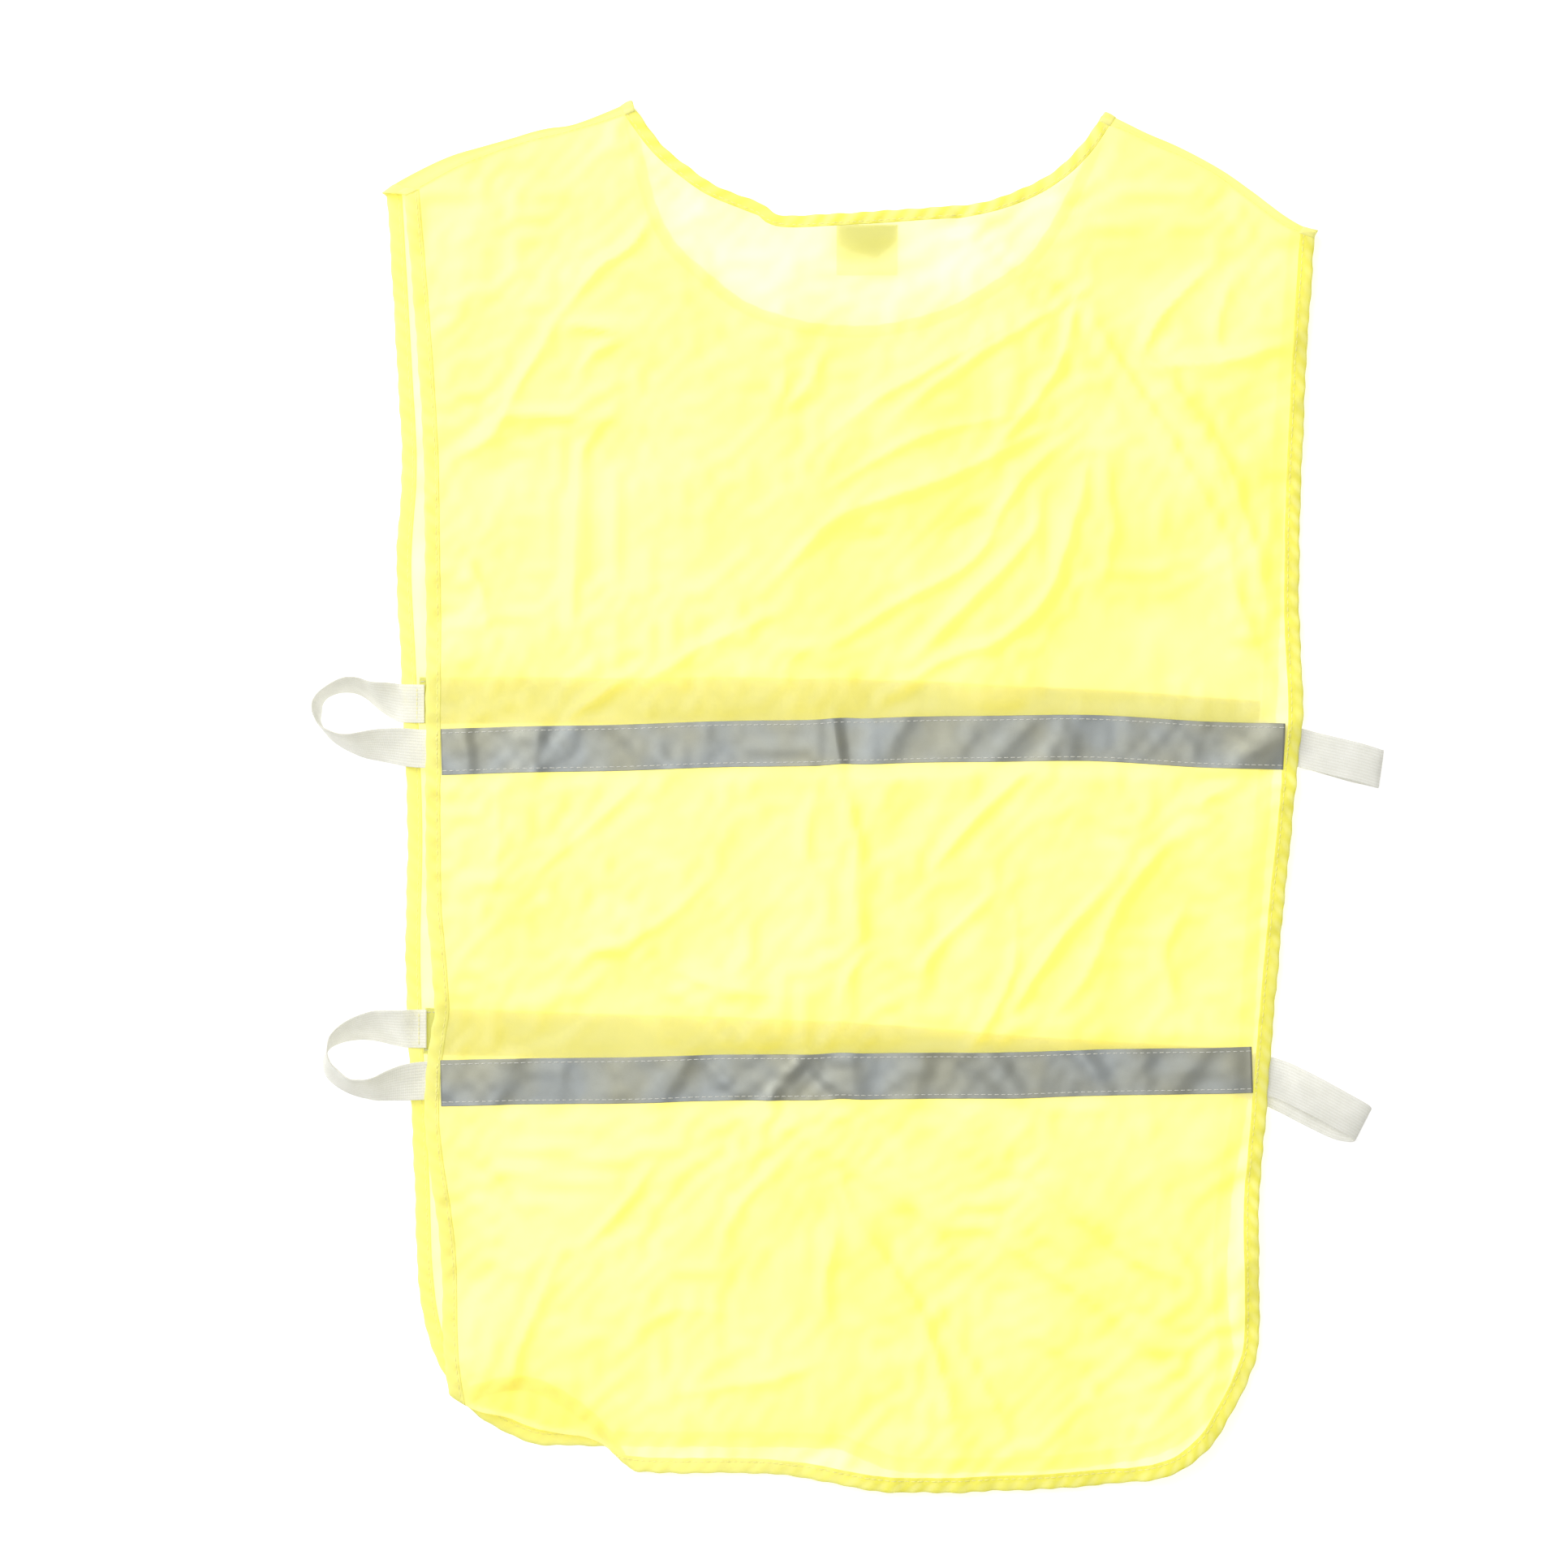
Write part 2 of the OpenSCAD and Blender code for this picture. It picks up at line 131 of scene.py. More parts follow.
# Creases of the upper layer: points along each, its height and its width
CREASES = [
    # upper right, climbing to the right
    ([(-17, 188), (11, 212), (44, 230), (89, 256)], 1.6, 3.5),
    ([(-14, 164), (26, 188), (56, 199), (105, 208)], 1.4, 3.5),
    ([(-14, 239), (-22, 222), (-35, 208)], 1.2, 3.0),
    ([(-35, 121), (-5, 151), (51, 171), (110, 200)], 1.8, 4.0),
    ([(-9, 81), (26, 104), (68, 128), (88, 164), (117, 194)], 1.7, 4.0),
    ([(20, 54), (51, 73), (86, 87), (111, 116), (131, 186)], 1.6, 4.0),
    ([(-20, 146), (4, 141), (33, 146)], -1.2, 4.0),
    ([(33, 131), (53, 146), (89, 157)], -1.2, 3.5),
    # star below the right shoulder
    ([(123, 270), (106, 280), (89, 288)], 1.4, 3.0),
    ([(123, 270), (148, 231), (182, 177), (203, 139)], 1.8, 3.5),
    ([(123, 270), (111, 228), (79, 188)], 1.5, 3.5),
    ([(123, 270), (63, 234), (21, 202)], 1.5, 3.5),
    ([(132, 260), (159, 237), (176, 218), (195, 186), (209, 146)], 1.4, 3.5),
    # right side
    ([(196, 287), (168, 259), (156, 231)], 1.8, 3.0),
    ([(156, 231), (201, 234), (239, 245)], 1.6, 3.0),
    ([(207, 282), (199, 254), (202, 237)], 1.3, 3.0),
    ([(153, 248), (196, 194), (215, 146), (227, 101)], 1.4, 4.0),
    ([(138, 186), (142, 147), (137, 113)], 1.3, 3.5),
    ([(105, 164), (97, 138), (63, 104), (38, 78)], 1.3, 3.5),
    ([(208, 146), (207, 116), (226, 67)], 1.2, 4.0),
    # upper left
    ([(-128, 206), (-143, 189), (-147, 158), (-149, 90)], 1.3, 4.0),
    ([(-108, 313), (-117, 297), (-134, 286), (-146, 272), (-154, 262)], 1.9, 3.0),
    ([(-154, 256), (-138, 252), (-121, 250)], 1.2, 2.6),
    ([(-156, 260), (-166, 242), (-177, 224), (-190, 200)], 1.4, 3.2),
    ([(-121, 246), (-137, 240), (-146, 229)], 1.4, 3.0),
    ([(-182, 212), (-192, 195), (-213, 182)], 1.2, 5.0),
    ([(-96, 291), (-71, 273), (-54, 262)], 1.0, 3.5),
    ([(-220, 146), (-200, 117), (-195, 88)], 1.2, 4.0),
    ([(-193, 201), (-169, 206), (-120, 202)], 0.9, 4.0),
    ([(-113, 60), (-77, 82), (-40, 98)], 1.5, 3.5),
    ([(-156, 36), (-143, 49), (-116, 67)], 1.3, 3.0),
    ([(-41, 249), (-34, 231), (-39, 206)], 1.0, 3.5),
    # middle
    ([(-18, 83), (-35, 67), (-18, 43)], 1.2, 3.5),
    ([(-8, 13), (4, -18), (3, -54), (8, -84)], 1.7, 4.0),
    ([(8, -84), (-3, -103), (-6, -122)], 1.3, 3.5),
    ([(43, -43), (67, -13), (94, 13)], 1.4, 3.5),
    ([(63, -140), (85, -104), (91, -72), (86, -48)], 1.4, 3.5),
    ([(89, -116), (112, -80), (142, -44)], 1.6, 3.5),
    ([(38, -104), (45, -84), (76, -54)], 1.3, 3.5),
    ([(173, -23), (148, -54), (128, -97), (111, -118)], 1.5, 3.5),
    ([(209, 7), (190, -3), (203, -13)], 1.3, 3.0),
    ([(-113, 7), (-161, -35), (-181, -55)], 1.0, 4.5),
    ([(-71, -42), (-107, -72), (-143, -86)], 1.0, 4.5),
    ([(-18, 5), (-23, -30), (-9, -55)], 1.0, 4.0),
    ([(-102, -92), (-70, -103), (-32, -109)], 1.0, 4.0),
    ([(184, -54), (171, -84), (178, -118)], 1.0, 4.0),
    ([(-190, 13), (-189, -21), (-192, -54)], 0.8, 3.5),
    # lower
    ([(-5, -196), (-1, -219), (15, -244), (39, -280), (51, -316), (57, -343)], 2.0, 3.8),
    ([(6, -197), (43, -229), (57, -250)], 1.5, 3.5),
    ([(85, -193), (123, -225), (154, -250), (185, -262)], 1.7, 3.8),
    ([(67, -229), (105, -254), (142, -280), (185, -316)], 1.6, 3.8),
    ([(165, -230), (187, -258)], 1.4, 3.0),
    ([(-11, -211), (-6, -231), (-14, -267), (-7, -287)], 1.3, 3.5),
    ([(-212, -182), (-193, -203), (-173, -231)], 1.4, 3.5),
    ([(-156, -247), (-175, -290), (-184, -324)], 1.2, 4.5),
    ([(-103, -195), (-116, -213), (-141, -242)], 1.2, 4.0),
    ([(-40, -200), (-65, -230), (-71, -254)], 0.9, 4.5),
    ([(-96, -323), (-46, -316), (-16, -306)], 1.0, 4.0),
    ([(40, -261), (56, -291), (76, -323), (88, -353)], 1.4, 3.8),
    ([(-120, -291), (-96, -278), (-65, -279)], 0.8, 5.0),
    ([(89, -285), (123, -306), (138, -333)], 1.0, 4.5),
]
# Broad patches of deeper colour, paler where strength is below 0: middle, half width, half height and
# strength
TONES = [
    (-12, 150, 26, 85, 0.55), (105, 140, 62, 62, 0.35), (128, -60, 45, 60, 0.3),
    (20, -250, 22, 75, 0.35), (125, -235, 50, 32, 0.3), (-130, 120, 70, 60, -0.35),
    (-150, -230, 60, 70, -0.45), (60, -10, 60, 40, -0.2), (-100, -20, 60, 60, -0.25),
    (-190, -335, 60, 14, 0.6), (195, 120, 22, 80, -0.2),
]
# A few creases of the lower layer
FRONT_CREASES = [
    ([(-180, 250), (-120, 190), (-60, 100)], 0.9, 6.0),
    ([(60, 240), (120, 150), (150, 60)], 0.9, 6.0),
    ([(-150, -20), (-60, -60), (40, -40)], 0.8, 6.0),
    ([(-120, -180), (-40, -260), (20, -330)], 0.9, 6.0),
    ([(180, -190), (120, -250), (80, -320)], 0.8, 6.0),
    ([(-228, 150), (-233, 60), (-229, -60)], 0.5, 4.0),
]
# Folds across the tapes: place at the top edge and at the bottom edge, rise, fall and height
UPPER_TAPE_FOLDS = [
    (-208, -206, 6, 3.5, 1.3), (-168, -172, 10, 4, 1.6), (-146, -168, 4, 5, 0.7),
    (-122, -97, 9, 7, 0.9), (-76, -84, 14, 7, 0.5), (-44, -40, 10, 9, 0.4), (-9, -5, 16, 2.6, 1.9),
    (30, 14, 10, 6, 1.0), (76, 54, 9, 7, 0.8), (101, 78, 8, 7, 1.2), (121, 108, 7, 9, 1.1),
    (160, 158, 12, 9, 0.5), (186, 183, 10, 7, 0.6), (237, 206, 9, 12, 2.2),
]
LOWER_TAPE_FOLDS = [
    (-181, -195, 10, 6, 1.4), (-156, -160, 8, 5, 0.7), (-112, -130, 9, 7, 0.7),
    (-88, -103, 11, 5, 1.5), (-56, -72, 10, 8, 0.5), (-24, -44, 4, 5, 1.3), (0, 2, 12, 6, 1.4),
    (40, 33, 10, 5, 0.9), (71, 90, 8, 7, 1.7), (101, 104, 8, 8, 0.6), (125, 139, 7, 5, 1.2),
    (158, 158, 8, 5, 1.1), (193, 172, 9, 6, 1.0), (205, 205, 6, 5, 0.8),
]


# ---------------------------------------------------------------------------------------------
# Curves, and small shapes
# ---------------------------------------------------------------------------------------------
def curve(points, steps=6):
    """The smooth line through points, with steps pieces to each span."""
    p = np.asarray(points, float)
    a, b, c, d = np.vstack([p[:1], p[:-2]]), p[:-1], p[1:], np.vstack([p[2:], p[-1:]])
    spans = [
        0.5 * (2 * b + (c - a) * t + (2 * a - 5 * b + 4 * c - d) * t**2 + (3 * b - a - 3 * c + d) * t**3)
        for t in np.arange(steps) / steps
    ]
    return np.vstack([np.stack(spans, 1).reshape(-1, p.shape[1]), p[-1:]])


def lengths(line):
    return np.concatenate([[0.0], np.cumsum(np.linalg.norm(np.diff(line, axis=0), axis=1))])


def resample(line, count):
    """count points at even distances along a line."""
    s = lengths(line)
    at = np.linspace(0, s[-1], count)
    return np.stack([np.interp(at, s, line[:, k]) for k in range(line.shape[1])], 1)


def by_spacing(line, spacing):
    return resample(line, max(2, int(round(lengths(line)[-1] / spacing)) + 1))


def unit(v):
    return v / np.linalg.norm(v, axis=1, keepdims=True)


def directions(line):
    return unit(np.gradient(line, axis=0))


def inward(line):
    """Unit vectors to the left of an outline, which is into the fabric."""
    d = directions(line)
    return np.stack([-d[:, 1], d[:, 0]], 1)


def smooth(x):
    x = np.clip(x, 0, 1)
    return x * x * (3 - 2 * x)


def bell(x):
    return np.exp(-(x**2))


def mound(xy, middle, size):
    """1 at the middle, fading out over size in x and y."""
    return np.exp(-(((xy - middle) / size) ** 2).sum(1))


def kept_above(h, least, sharpness):
    """Heights that never fall below least, with a soft turn near it."""
    return least + np.log1p(np.exp(np.clip((h - least) * sharpness, -40, 40))) / sharpness


def distance_to(line, xy):
    """Each point's distance to a line of straight pieces, the nearest point's share of the way along
    it, and how far the point lies to the lower right of it."""
    s = lengths(line)
    best = np.full(len(xy), np.inf)
    along, shaded = np.zeros(len(xy)), np.zeros(len(xy))
    for i in range(len(line) - 1):
        a, run = line[i], line[i + 1] - line[i]
        size = float(run @ run)
        if size == 0:
            continue
        t = np.clip(((xy - a) @ run) / size, 0, 1)
        away = xy - a - t[:, None] * run
        d = np.linalg.norm(away, axis=1)
        closer = d < best
        best[closer] = d[closer]
        along[closer] = (s[i] + t[closer] * (s[i + 1] - s[i])) / s[-1]
        shaded[closer] = (away @ FROM_LIGHT)[closer]
    return best, along, shaded


# ---------------------------------------------------------------------------------------------
# Heights of the cloth
# ---------------------------------------------------------------------------------------------
def ridge_heights(xy, creases, spread=1.0, crease_shade=False):
    """Sum of the ridges along creases, each fading out towards its ends. A ridge is steep on its upper
    left and falls away slowly on its lower right. With the last argument true, it gives instead that
    slow side's strength, the side that faces away from the light, as painted shade along each crease."""
    total = np.zeros(len(xy))
    for points, height, width in creases:
        line = curve(points, 4) if len(points) > 2 else np.asarray(points, float)
        w = width * spread
        low, high = line.min(0) - 10 * w, line.max(0) + 10 * w
        near = np.flatnonzero(np.all((xy > low) & (xy < high), axis=1))
        if not len(near):
            continue
        d, along, shaded = distance_to(line, xy[near])
        fade = np.sin(np.pi * np.clip(along, 0.03, 0.97)) ** 0.55
        side = smooth(0.5 + 0.5 * shaded / np.maximum(d, 0.8))
        if crease_shade:
            total[near] += abs(height) * fade * side * bell(d / (1.05 * w))
        else:
            wide = w * (0.9 + 1.1 * side)
            total[near] += height * fade * np.exp((0.5 - np.sqrt(d * d + 0.25)) / wide)
    return total


def ripples(xy, longest, shortest, height, seed):
    """Low irregular swells, as a sum of plane waves."""
    r = np.random.default_rng(seed)
    total = np.zeros(len(xy))
    for _ in range(26):
        wave = np.exp(r.uniform(np.log(shortest), np.log(longest)))
        turn = r.uniform(0, np.pi)
        phase = r.uniform(0, 2 * np.pi)
        k = 2 * np.pi / wave * np.array((np.cos(turn), np.sin(turn)))
        total += (wave / longest) * np.sin(xy @ k + phase)
    return height * total / 3.0


def crumples(xy, seed, count, longest, shortest, slope):
    """Flat facets with sharp edges between them, as fabric keeps from being packed: triangle waves in
    many directions, each one bent and only in places."""
    r = np.random.default_rng(seed)
    total = np.zeros(len(xy))
    for _ in range(count):
        wave = np.exp(r.uniform(np.log(shortest), np.log(longest)))
        turn = r.uniform(0.15, 1.25) if r.random() < 0.65 else r.uniform(1.25, np.pi)
        across = np.array((-np.sin(turn), np.cos(turn)))
        bend = xy @ r.normal(0, 1 / 50, 2)
        phase = xy @ across / wave + 0.4 * np.sin(bend + r.uniform(0, 6)) + r.uniform(0, 2)
        place = xy @ r.normal(0, 1 / 60, (2, 2))
        place = np.sin(place[:, 0] + r.uniform(0, 6)) * np.sin(place[:, 1] + r.uniform(0, 6))
        total += slope * wave * smooth((place + 0.05) / 0.5) * (np.abs(np.mod(phase, 2) - 1) - 0.5)
    return total


class HeightMap:
    """Heights on a square grid, read with smooth cubic steps between its points."""

    def __init__(self, low, pitch, values):
        self.low, self.pitch, self.values = low, pitch, values

    def __call__(self, xy):
        rows, cols = self.values.shape
        g = (xy - self.low) / self.pitch
        x = np.clip(g[:, 0], 1.0, cols - 2.001)
        y = np.clip(g[:, 1], 1.0, rows - 2.001)
        i, j = x.astype(int), y.astype(int)

        def weights(t):
            return (
                0.5 * (-t + 2 * t**2 - t**3), 0.5 * (2 - 5 * t**2 + 3 * t**3),
                0.5 * (t + 4 * t**2 - 3 * t**3), 0.5 * (-(t**2) + t**3),
            )

        wx, wy = weights(x - i), weights(y - j)
        total = np.zeros(len(xy))
        for b in range(4):
            row = np.clip(j + b - 1, 0, rows - 1)
            for a in range(4):
                total += wy[b] * wx[a] * self.values[row, np.clip(i + a - 1, 0, cols - 1)]
        return total


def inside(outline, xy):
    """True for each point within a closed outline."""
    x, y = xy[:, 0], xy[:, 1]
    odd = np.zeros(len(xy), bool)
    for (x1, y1), (x2, y2) in zip(outline, np.roll(outline, -1, axis=0)):
        if y1 == y2:
            continue
        crosses = (y1 > y) != (y2 > y)
        odd ^= crosses & (x < (x2 - x1) * (y - y1) / (y2 - y1) + x1)
    return odd


def closed(side, neck):
    """A panel's whole outline."""
    return np.vstack([curve(side, 3), curve(neck, 3)])


BACK_OUTLINE = closed(BACK_SIDE, BACK_NECK)


def grid_faces(rows, cols, around=False):
    """Quads of a grid of points; around joins its last column to its first."""
    n = np.arange(rows * cols).reshape(rows, cols)
    right = np.roll(n, -1, axis=1) if around else n[:, 1:]
    left = n if around else n[:, :-1]
    return np.stack([left[:-1], right[:-1], right[1:], left[1:]], -1).reshape(-1, 4)


def add_object(name, data):
    o = bpy.data.objects.new(name, data)
    scene.collection.objects.link(o)
    return o


def square(name, half):
    """A level square at height 0, half its side to each side of the middle, in metres."""
    mesh = bpy.data.meshes.new(name)
    corners = [(-half, -half, 0), (half, -half, 0), (half, half, 0), (-half, half, 0)]
    mesh.from_pydata(corners, [], [(0, 1, 2, 3)])
    return add_object(name, mesh)


def settle(outline, creases, pitch, frames, seed):
    """Lets a sheet of cloth with a little spare length settle on a flat floor between its stitched
    edges, with the creases pressed into it, and returns the heights that it comes to rest at."""
    low = outline.min(0) - 3 * pitch
    cols, rows = (np.ceil((outline.max(0) + 3 * pitch - low) / pitch)).astype(int)
    gx, gy = np.meshgrid(low[0] + pitch * np.arange(cols), low[1] + pitch * np.arange(rows))
    xy = np.stack([gx.ravel(), gy.ravel()], 1)
    keep = inside(outline, xy)
    start = 2.0 + np.maximum(0, ridge_heights(xy, creases, 2.0) * 1.6 + ripples(xy, 150, 40, 1.4, seed))
    number = np.full(len(xy), -1)
    number[keep] = np.arange(keep.sum())
    quads = number[grid_faces(rows, cols)]
    quads = quads[(quads >= 0).all(1)]
    mesh = bpy.data.meshes.new("settling")
    mesh.from_pydata((np.column_stack([xy, start])[keep] * MM).tolist(), [], quads.tolist())
    sheet = add_object("settling", mesh)
    uses = np.bincount(quads.ravel(), minlength=int(keep.sum()))
    held = sheet.vertex_groups.new(name="held")
    held.add(np.flatnonzero(uses < 4).tolist(), 0.6, "REPLACE")
    ground = square("ground", 1)
    ground.modifiers.new("Collision", "COLLISION")
    ground.collision.thickness_outer = 0.001

    cloth = sheet.modifiers.new("Cloth", "CLOTH")
    s = cloth.settings
    s.quality = 5
    s.mass = 0.1
    s.air_damping = 2.0
    s.tension_stiffness = s.compression_stiffness = 20
    s.shear_stiffness = 8
    s.bending_stiffness = 0.4
    s.shrink_min = -0.014
    s.vertex_group_mass = "held"
    s.pin_stiffness = 1.0
    cloth.collision_settings.distance_min = 0.001
    cloth.point_cache.frame_start, cloth.point_cache.frame_end = 1, frames
    for f in range(1, frames + 1):
        scene.frame_set(f)
    shaped = sheet.evaluated_get(bpy.context.evaluated_depsgraph_get())
    z = np.array([v.co.z for v in shaped.data.vertices]) / MM
    scene.frame_set(1)
    for o in (sheet, ground):
        used = o.data
        bpy.data.objects.remove(o)
        bpy.data.meshes.remove(used)

    # The grid points outside the cloth take the mean height of their neighbours, row after row
    values = np.full(len(xy), np.nan)
    values[keep] = z
    values = values.reshape(rows, cols)
    while np.isnan(values).any():
        padded = np.pad(values, 1, constant_values=np.nan)
        around = np.stack([padded[1:-1, :-2], padded[1:-1, 2:], padded[:-2, 1:-1], padded[2:, 1:-1]])
        known = ~np.isnan(around)
        mean = np.where(known, around, 0).sum(0) / np.maximum(known.sum(0), 1)
        fill = np.isnan(values) & known.any(0)
        values[fill] = mean[fill]
    return HeightMap(low, pitch, np.clip(values - np.median(values), -2.2, 3.0))


settled_back = settle(BACK_OUTLINE, CREASES, 6.0, 22, 3)
settled_front = settle(closed(FRONT_SIDE, FRONT_NECK), FRONT_CREASES, 9.0, 16, 5)


def tape_shape(xy, line, folds):
    """Height of a tape's folds at each point, and how much the point is in the tape's reach."""
    middle = curve(line, 8)
    off = xy[:, 1] - np.interp(xy[:, 0], middle[:, 0], middle[:, 1])
    reach = 1 - smooth((np.abs(off) - TAPE_W / 2) / 9)
    up = np.clip(off / TAPE_W + 0.5, -0.3, 1.3)
    total = np.zeros(len(xy))
    for top, bottom, rise, fall, height in folds:
        x = xy[:, 0] - (bottom + (top - bottom) * up)
        total += 1.6 * height * bell(x / np.where(x < 0, 1.5 * rise, 1.5 * fall))
    return total - TAPE_DIP, reach


def front_height(xy):
    h = FRONT_BASE + 0.3 * settled_front(xy) + 0.5 * ridge_heights(xy, FRONT_CREASES)
    h += 0.35 * crumples(xy, 14, 14, 110, 40, 0.036)
    return kept_above(h, FRONT_LEAST, 4)


def loop_rooms(xy):
    """Extra height where an elastic loop passes between the layers."""
    total = np.zeros(len(xy))
    for at in ((-226, 26), (-226, -154), (236, 28), (220, -149)):
        total += 1.1 * mound(xy, at, (16, 22))
    return total


def back_height(xy):
    up_shape, up_reach = tape_shape(xy, BACK_UPPER_TAPE, UPPER_TAPE_FOLDS)
    low_shape, low_reach = tape_shape(xy, BACK_LOWER_TAPE, LOWER_TAPE_FOLDS)
    free = 1 - np.maximum(up_reach, low_reach)
    h = BACK_BASE + (0.35 + 0.65 * free) * settled_back(xy) * 0.9
    h += 1.3 * free * ridge_heights(xy, CREASES) + up_reach * up_shape + low_reach * low_shape
    busy = 0.62 + 0.48 * smooth((xy[:, 0] + 60) / 120)
    facets = crumples(xy, 4, 16, 100, 34, 0.034) + crumples(xy, 8, 16, 34, 14, 0.036)
    h += free * (busy * facets + 0.6)
    # Around the neck label the layer is nearly level, so that the label passes below it
    neck = mound(xy, (10, 300), (70, 34))
    h = h * (1 - neck) + neck * (7.75 + 0.4 * (h - BACK_BASE))
    h += loop_rooms(xy)
    return kept_above(h, front_height(xy) + LEAST_GAP, 2.5)


# ---------------------------------------------------------------------------------------------
# From flat layout to place
# ---------------------------------------------------------------------------------------------
class Shoulder:
    """How the fabric turns over one shoulder: from the lower layer's edge line out to the fold and
    back to the seam on top."""

    steps = 59  # of the tables along the edge, the reach and the seam

    def __init__(self, edge, reach, seam, arc):
        self.edge, self.arc = np.asarray(edge, float), arc
        self.reach, self.seam = (resample(curve(line), self.steps + 1) for line in (reach, seam))
        self.run = self.edge[1] - self.edge[0]
        self.size = float(self.run @ self.run)
        out = np.array((-self.run[1], self.run[0])) / np.sqrt(self.size)
        self.out = out if out[1] > 0 else -out
        self.top = back_height(self.seam) + SEAM_LIFT
        share = np.linspace(0, 1, self.steps + 1)[:, None]
        self.bottom = front_height(self.edge[0] + share * self.run)

    def turned(self, point):
        """The flat point one full turn and lap beyond the edge line."""
        return point + self.out * (self.arc + SHOULDER_LAP)

    def bend(self, xy, dz):
        """Places of the flat points that lie beyond the edge line, and which points those are."""
        rel = xy - self.edge[0]
        beyond = rel @ self.out
        t = (rel @ self.run) / self.size
        chosen = (beyond > 0) & (t > -0.12) & (t < 1.12)
        beyond, t, dz = beyond[chosen], t[chosen], dz[chosen]
        on = np.clip(t, 0, 1)
        i = np.minimum((on * self.steps).astype(int), self.steps - 1)
        f = on * self.steps - i

        def read_at(table):
            return table[i] + (f[:, None] if table.ndim == 2 else f) * (table[i + 1] - table[i])

        reach, seam, top, bottom = map(read_at, (self.reach, self.seam, self.top, self.bottom))
        extra = (t - on)[:, None] * self.run
        foot = self.edge[0] + on[:, None] * self.run
        turn = np.pi * np.clip(beyond / self.arc, 0, 1)
        base = np.where((turn < np.pi / 2)[:, None], foot, seam)
        wide = np.linalg.norm(reach - base, axis=1)
        tall = (top - bottom) / 2
        place = base + (reach - base) * np.sin(turn)[:, None] + extra
        z = (top + bottom) / 2 - tall * np.cos(turn)
        nx, nz = tall * np.sin(turn), -wide * np.cos(turn)
        size = np.maximum(np.hypot(nx, nz), 1e-6)
        side = (reach - base) / np.maximum(wide, 1e-6)[:, None]
        over = np.maximum(beyond - self.arc, 0)
        place = place - side * (nx / size * dz)[:, None] - side * over[:, None]
        z = z - nz / size * dz
        lap = over > 0
        if lap.any():
            z[lap] = back_height(place[lap]) + SEAM_LIFT - dz[lap]
        return chosen, np.column_stack([place, z])


LEFT_SHOULDER = Shoulder(LEFT_EDGE, LEFT_REACH, LEFT_SEAM, 17.0)
RIGHT_SHOULDER = Shoulder(RIGHT_EDGE, RIGHT_REACH, RIGHT_SEAM, 12.0)


def place_front(p):
    """Real places of flat points (x, y, dz) of the lower layer."""
    xy, dz = p[:, :2], p[:, 2]
    out = np.column_stack([xy, front_height(xy) + dz])
    for shoulder in (LEFT_SHOULDER, RIGHT_SHOULDER):
        chosen, place = shoulder.bend(xy, dz)
        out[chosen] = place
    return out


FOLD_ALONG = (FOLD_END - FOLD_START) / np.linalg.norm(FOLD_END - FOLD_START)
FOLD_IN = np.array((-FOLD_ALONG[1], FOLD_ALONG[0]))


def fold_push(xy):
    """How far the edge of the folded corner bends into the cloth, along the fold."""
    along = (xy - FOLD_START) @ FOLD_ALONG
    return 7.0 * bell((along - 84) / 20) - 3.2 * bell((along - 17) / 14)


def past_fold(xy):
    """How far inside the folded corner's bent edge each real point lies."""
    return (xy - FOLD_START) @ FOLD_IN - fold_push(xy)


def place_back(p):
    """Real places of flat points (x, y, dz) of the upper layer."""
    xy, dz = p[:, :2], p[:, 2]
    beyond = -((xy - FOLD_START) @ FOLD_IN)
    folded = beyond > 0
    foot = xy + np.where(folded, beyond, 0)[:, None] * FOLD_IN
    turn = np.clip(beyond / FOLD_R, 0, np.pi)
    under = np.maximum(beyond - np.pi * FOLD_R, 0)
    shift = -(FOLD_R + dz) * np.sin(turn) + under
    height = (FOLD_R + dz) * np.cos(turn) - FOLD_R
    xy = np.where(folded[:, None], foot + shift[:, None] * FOLD_IN, xy)
    into = np.maximum((xy - FOLD_START) @ FOLD_IN, 0)
    xy = xy + (fold_push(xy) * np.exp(-into / 22))[:, None] * FOLD_IN
    dz = np.where(folded, height, dz)
    return np.column_stack([xy, back_height(xy) + dz])


PLACES = {"back": place_back, "front": place_front}


# ---------------------------------------------------------------------------------------------
# Meshes
# ---------------------------------------------------------------------------------------------
def tube_faces(rows, cols):
    """Quads round a row of rings of points, and a face at each end."""
    faces = grid_faces(rows, cols, around=True).tolist()
    return faces + [list(range(cols))[::-1], list(range((rows - 1) * cols, rows * cols))]


def band_uv(along, across):
    """Flat coordinates of a band's points: the way along it and the way across it."""
    return np.stack(np.broadcast_arrays(along[:, None], across), -1).reshape(-1, 2)


def read(items, field, size=3, kind=float):
    """One field of a mesh's vertices or corners, a row to each."""
    values = np.empty(len(items) * size, kind)
    items.foreach_get(field, values)
    return values.reshape(-1, size)


def real_places(o):
    return read(o.data.vertices, "co") / MM


def cut_fold(mesh):
    """Cuts a flat mesh along the corner's fold, so that the turn has clean lines."""
    bm = bmesh.new()
    bm.from_mesh(mesh)
    for step in (0.0, 0.25, 0.5, 0.75, 1.0):
        at = FOLD_START - FOLD_IN * (step * np.pi * FOLD_R)
        geometry = bm.verts[:] + bm.edges[:] + bm.faces[:]
        bmesh.ops.bisect_plane(
            bm, geom=geometry, dist=1e-4, plane_co=(*at, 0), plane_no=(*FOLD_IN, 0)
        )
    bm.to_mesh(mesh)
    bm.free()


pieces = {}


